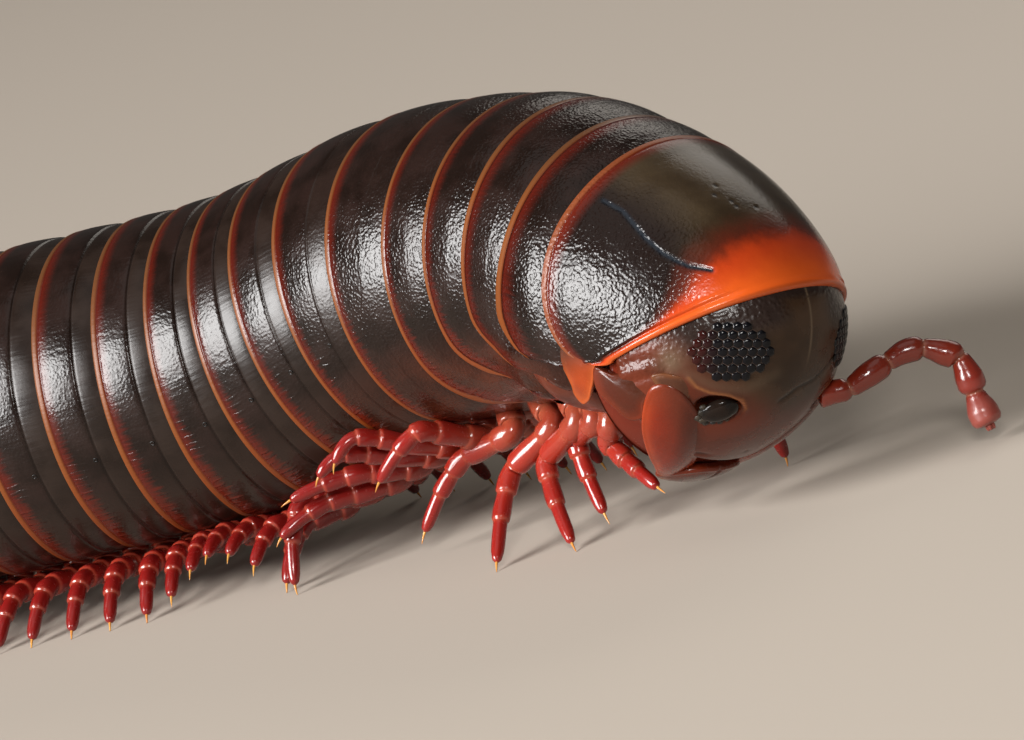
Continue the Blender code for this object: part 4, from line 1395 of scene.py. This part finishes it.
def antenna_grids():
    """Left antenna: circles along its route, each article a club with a thin neck, and end bristles."""
    number = np.arange(len(ANTENNA_ROUTE))
    last = float(number[-1])
    at = np.linspace(0.0, last, 220)
    path = smooth_path(number, from_head(ANTENNA_ROUTE), at)
    tangent = unit(np.gradient(path, axis=0))
    across = unit(np.cross(tangent[0], tangent[-1]))
    radius = np.zeros_like(at)
    joint = np.zeros_like(at)
    for (start, thin, thick), end in zip(ARTICLES, [start for start, _, _ in ARTICLES[1:]] + [last]):
        share = np.clip((at - start) / (end - start), 0.0, 1.0)
        club = thin + (thick - thin) * ramp(share, 0.0, 0.6)
        club = ANTENNA_NECK + (club - ANTENNA_NECK) * np.sqrt(np.clip(share / 0.09, 0.0, 1.0))
        club = club * np.sqrt(1.0 - 0.62 * np.clip((share - 0.76) / 0.24, 0.0, 1.0) ** 2)
        radius = np.where((at >= start) & (at <= end), club, radius)
        joint = np.maximum(joint, bell(at - start, 0.1) * (start > 0.0))
    radius = radius * (1.0 - 0.55 * ramp(at, last - 0.12, last))
    grids = [tube(path, radius[:, None], across, 32, along=(at / last)[:, None], joint=joint[:, None])]
    way = tangent[-1]
    across = unit(across - way * (way @ across))
    rise = np.linspace(0.0, 1.0, 8)[:, None]
    for angle in BRISTLE_TURNS:
        out = math.cos(angle) * across + math.sin(angle) * np.cross(way, across)
        foot = path[-1] + 0.09 * out - way * 0.03
        size = 0.065 * np.sqrt(1.0 - 0.9 * rise ** 2)
        grids.append(tube(foot + way * 0.17 * rise, size, across, 10, along=1.0, joint=0.0))
    return grids


def lump(middle, axes, radii, rows, columns, rough, phase=0.0):
    """A closed rounded lump: an ellipsoid, roughened by products of sines."""
    shape = round_shape(rows, columns, 0.03)
    x, y, z = np.moveaxis(shape, -1, 0)
    bumps = np.sin(5 * x + phase) * np.sin(6 * y + 2 * phase) + np.sin(9 * z + phase)
    points = (shape * np.asarray(radii) * (1.0 + rough * bumps)[..., None]) @ axes
    return sealed(from_head(middle + points), from_head(middle))


def make_throat():
    """Soft skin between the head and the second ring: a wide low ellipsoid with folds."""
    shape = round_shape(60, 72, 0.03)[..., (1, 0, 2)]
    folds = 1.0 + 0.02 * np.sin(14.0 * shape[..., 0]) * ramp(-shape[..., 2], 0.0, 0.5)
    skin = from_head(THROAT_MIDDLE + shape * THROAT_RADII * folds[..., None])
    # The skin's dark colour is partly painted shade
    make_piece("throat_skin", [sealed(skin, from_head(THROAT_MIDDLE))], THROAT_IN_SHADE)


def make_feelers():
    """The whole left antenna, and the dark scab and crust in the right socket."""
    make_piece("antenna_articles", antenna_grids(), ANTENNA, ["antenna_left"])
    outward = head_normal(STUMP_MIDDLE)
    along = unit(STUMP_WAY - outward * (STUMP_WAY @ outward))
    ways = np.stack([along, np.cross(outward, along), outward])
    bead = lump(STUMP_MIDDLE - outward * 0.06, ways, (0.56, 0.36, 0.22), 36, 48, 0.015)
    make_piece("stump_scab", [bead], SCAB, ["antenna_stump_right"])
    crumbs = [
        lump(STUMP_MIDDLE + np.array([shift, lateral, -0.05]) @ ways, ways, size * CRUMB_SHAPE, 14, 18, 0.12,
             1.0 + index * 1.7)
        for index, (shift, lateral, size) in enumerate(CRUMBS)]
    make_piece("stump_crust", crumbs, CRUST)


# Floor, lights and camera

CAMERA_AZIMUTH = 20.0
CAMERA_HEIGHT = 10.0
CAMERA_ROLL = 17.5
CAMERA_RIGHT = -4.04
CAMERA_RISE = -2.75
CAMERA_DISTANCE = 160.0
CAMERA_LENS = 198.7

# Softboxes: azimuth and height in degrees, distance, width and height in mm, power and colour
SOFTBOXES = {
    "side softbox": (-44.0, 23.0, 900.0, 450.0, 480.0, 20.0, (1.0, 0.99, 0.98)),
    "front softbox": (22.0, 26.0, 240.0, 44.0, 36.0, 0.27, (1.0, 0.98, 0.95)),
    "top softbox": (10.0, 80.0, 300.0, 240.0, 240.0, 0.09, (1.0, 0.98, 0.95)),
    "back softbox": (165.0, 35.0, 380.0, 260.0, 160.0, 0.22, (1.0, 0.93, 0.84)),
}
LIGHT_AIM = NAPE - np.array([12.0, 0.0, 0.0])
FLOOR_HALF_WIDTH = 3.0
FLOOR_COLOUR = (0.42, 0.368, 0.314, 1.0)
WORLD_COLOUR = (0.86, 0.8, 0.74, 1.0)
WORLD_STRENGTH = 0.08


def view_axes(azimuth, height):
    """Right, up and back of something that faces the body from an azimuth and a height in degrees."""
    az, el = math.radians(azimuth), math.radians(height)
    right = np.array([math.cos(az), math.sin(az), 0.0])
    back = np.array([math.sin(az) * math.cos(el), -math.cos(az) * math.cos(el), math.sin(el)])
    return right, np.cross(back, right), back


def make_floor():
    """A plain pale floor."""
    mesh = bpy.data.meshes.new("floor")
    size = FLOOR_HALF_WIDTH
    corners = [(-size, -size, 0), (size, -size, 0), (size, size, 0), (-size, size, 0)]
    mesh.from_pydata(corners, [], [(0, 1, 2, 3)])
    look = Look("Pale floor", 0.2, coat_roughness=0.03)
    look.set({"Base Color": FLOOR_COLOUR, "Roughness": 0.85})
    mesh.materials.append(look.material)
    add_object("floor", mesh)


def add_softbox(name, azimuth, height, distance, width, tall, power, colour):
    """A rectangular light that faces the front of the body."""
    light = bpy.data.lights.new(name, "AREA")
    light.shape = "RECTANGLE"
    light.size, light.size_y = width * MM, tall * MM
    light.energy, light.color = power, colour
    axes = view_axes(azimuth, height)
    add_object(name, light, axes, LIGHT_AIM + axes[2] * distance)


def add_camera():
    """Camera at the photograph's viewing angle, rolled with the ground the animal walks on."""
    level, rise, back = view_axes(CAMERA_AZIMUTH, CAMERA_HEIGHT)
    roll = math.radians(CAMERA_ROLL)
    right = level * math.cos(roll) - rise * math.sin(roll)
    up = level * math.sin(roll) + rise * math.cos(roll)
    data = bpy.data.cameras.new("camera")
    data.lens = CAMERA_LENS
    data.sensor_width = 36.0
    data.clip_start = MM
    place = NAPE + right * CAMERA_RIGHT + up * CAMERA_RISE + back * CAMERA_DISTANCE
    bpy.context.scene.camera = add_object("camera", data, (right, up, back), place)


def add_world():
    """Even pale surroundings."""
    world = bpy.data.worlds.new("world")
    world.use_nodes = True
    background = world.node_tree.nodes["Background"]
    background.inputs["Color"].default_value = WORLD_COLOUR
    background.inputs["Strength"].default_value = WORLD_STRENGTH
    bpy.context.scene.world = world
    bpy.context.scene.view_settings.view_transform = "Standard"


add_camera()
make_floor()
add_world()
for softbox, settings in SOFTBOXES.items():
    add_softbox(softbox, *settings)

make_trunk()
make_tail()
make_collum()
make_head()
make_plates()
make_throat()
for eye_side, eye_word in ((1.0, "right"), (-1.0, "left")):
    make_piece(f"ocelli_{eye_word}", eye_grids(eye_side), EYE, [f"eye_{eye_word}"])
make_feelers()
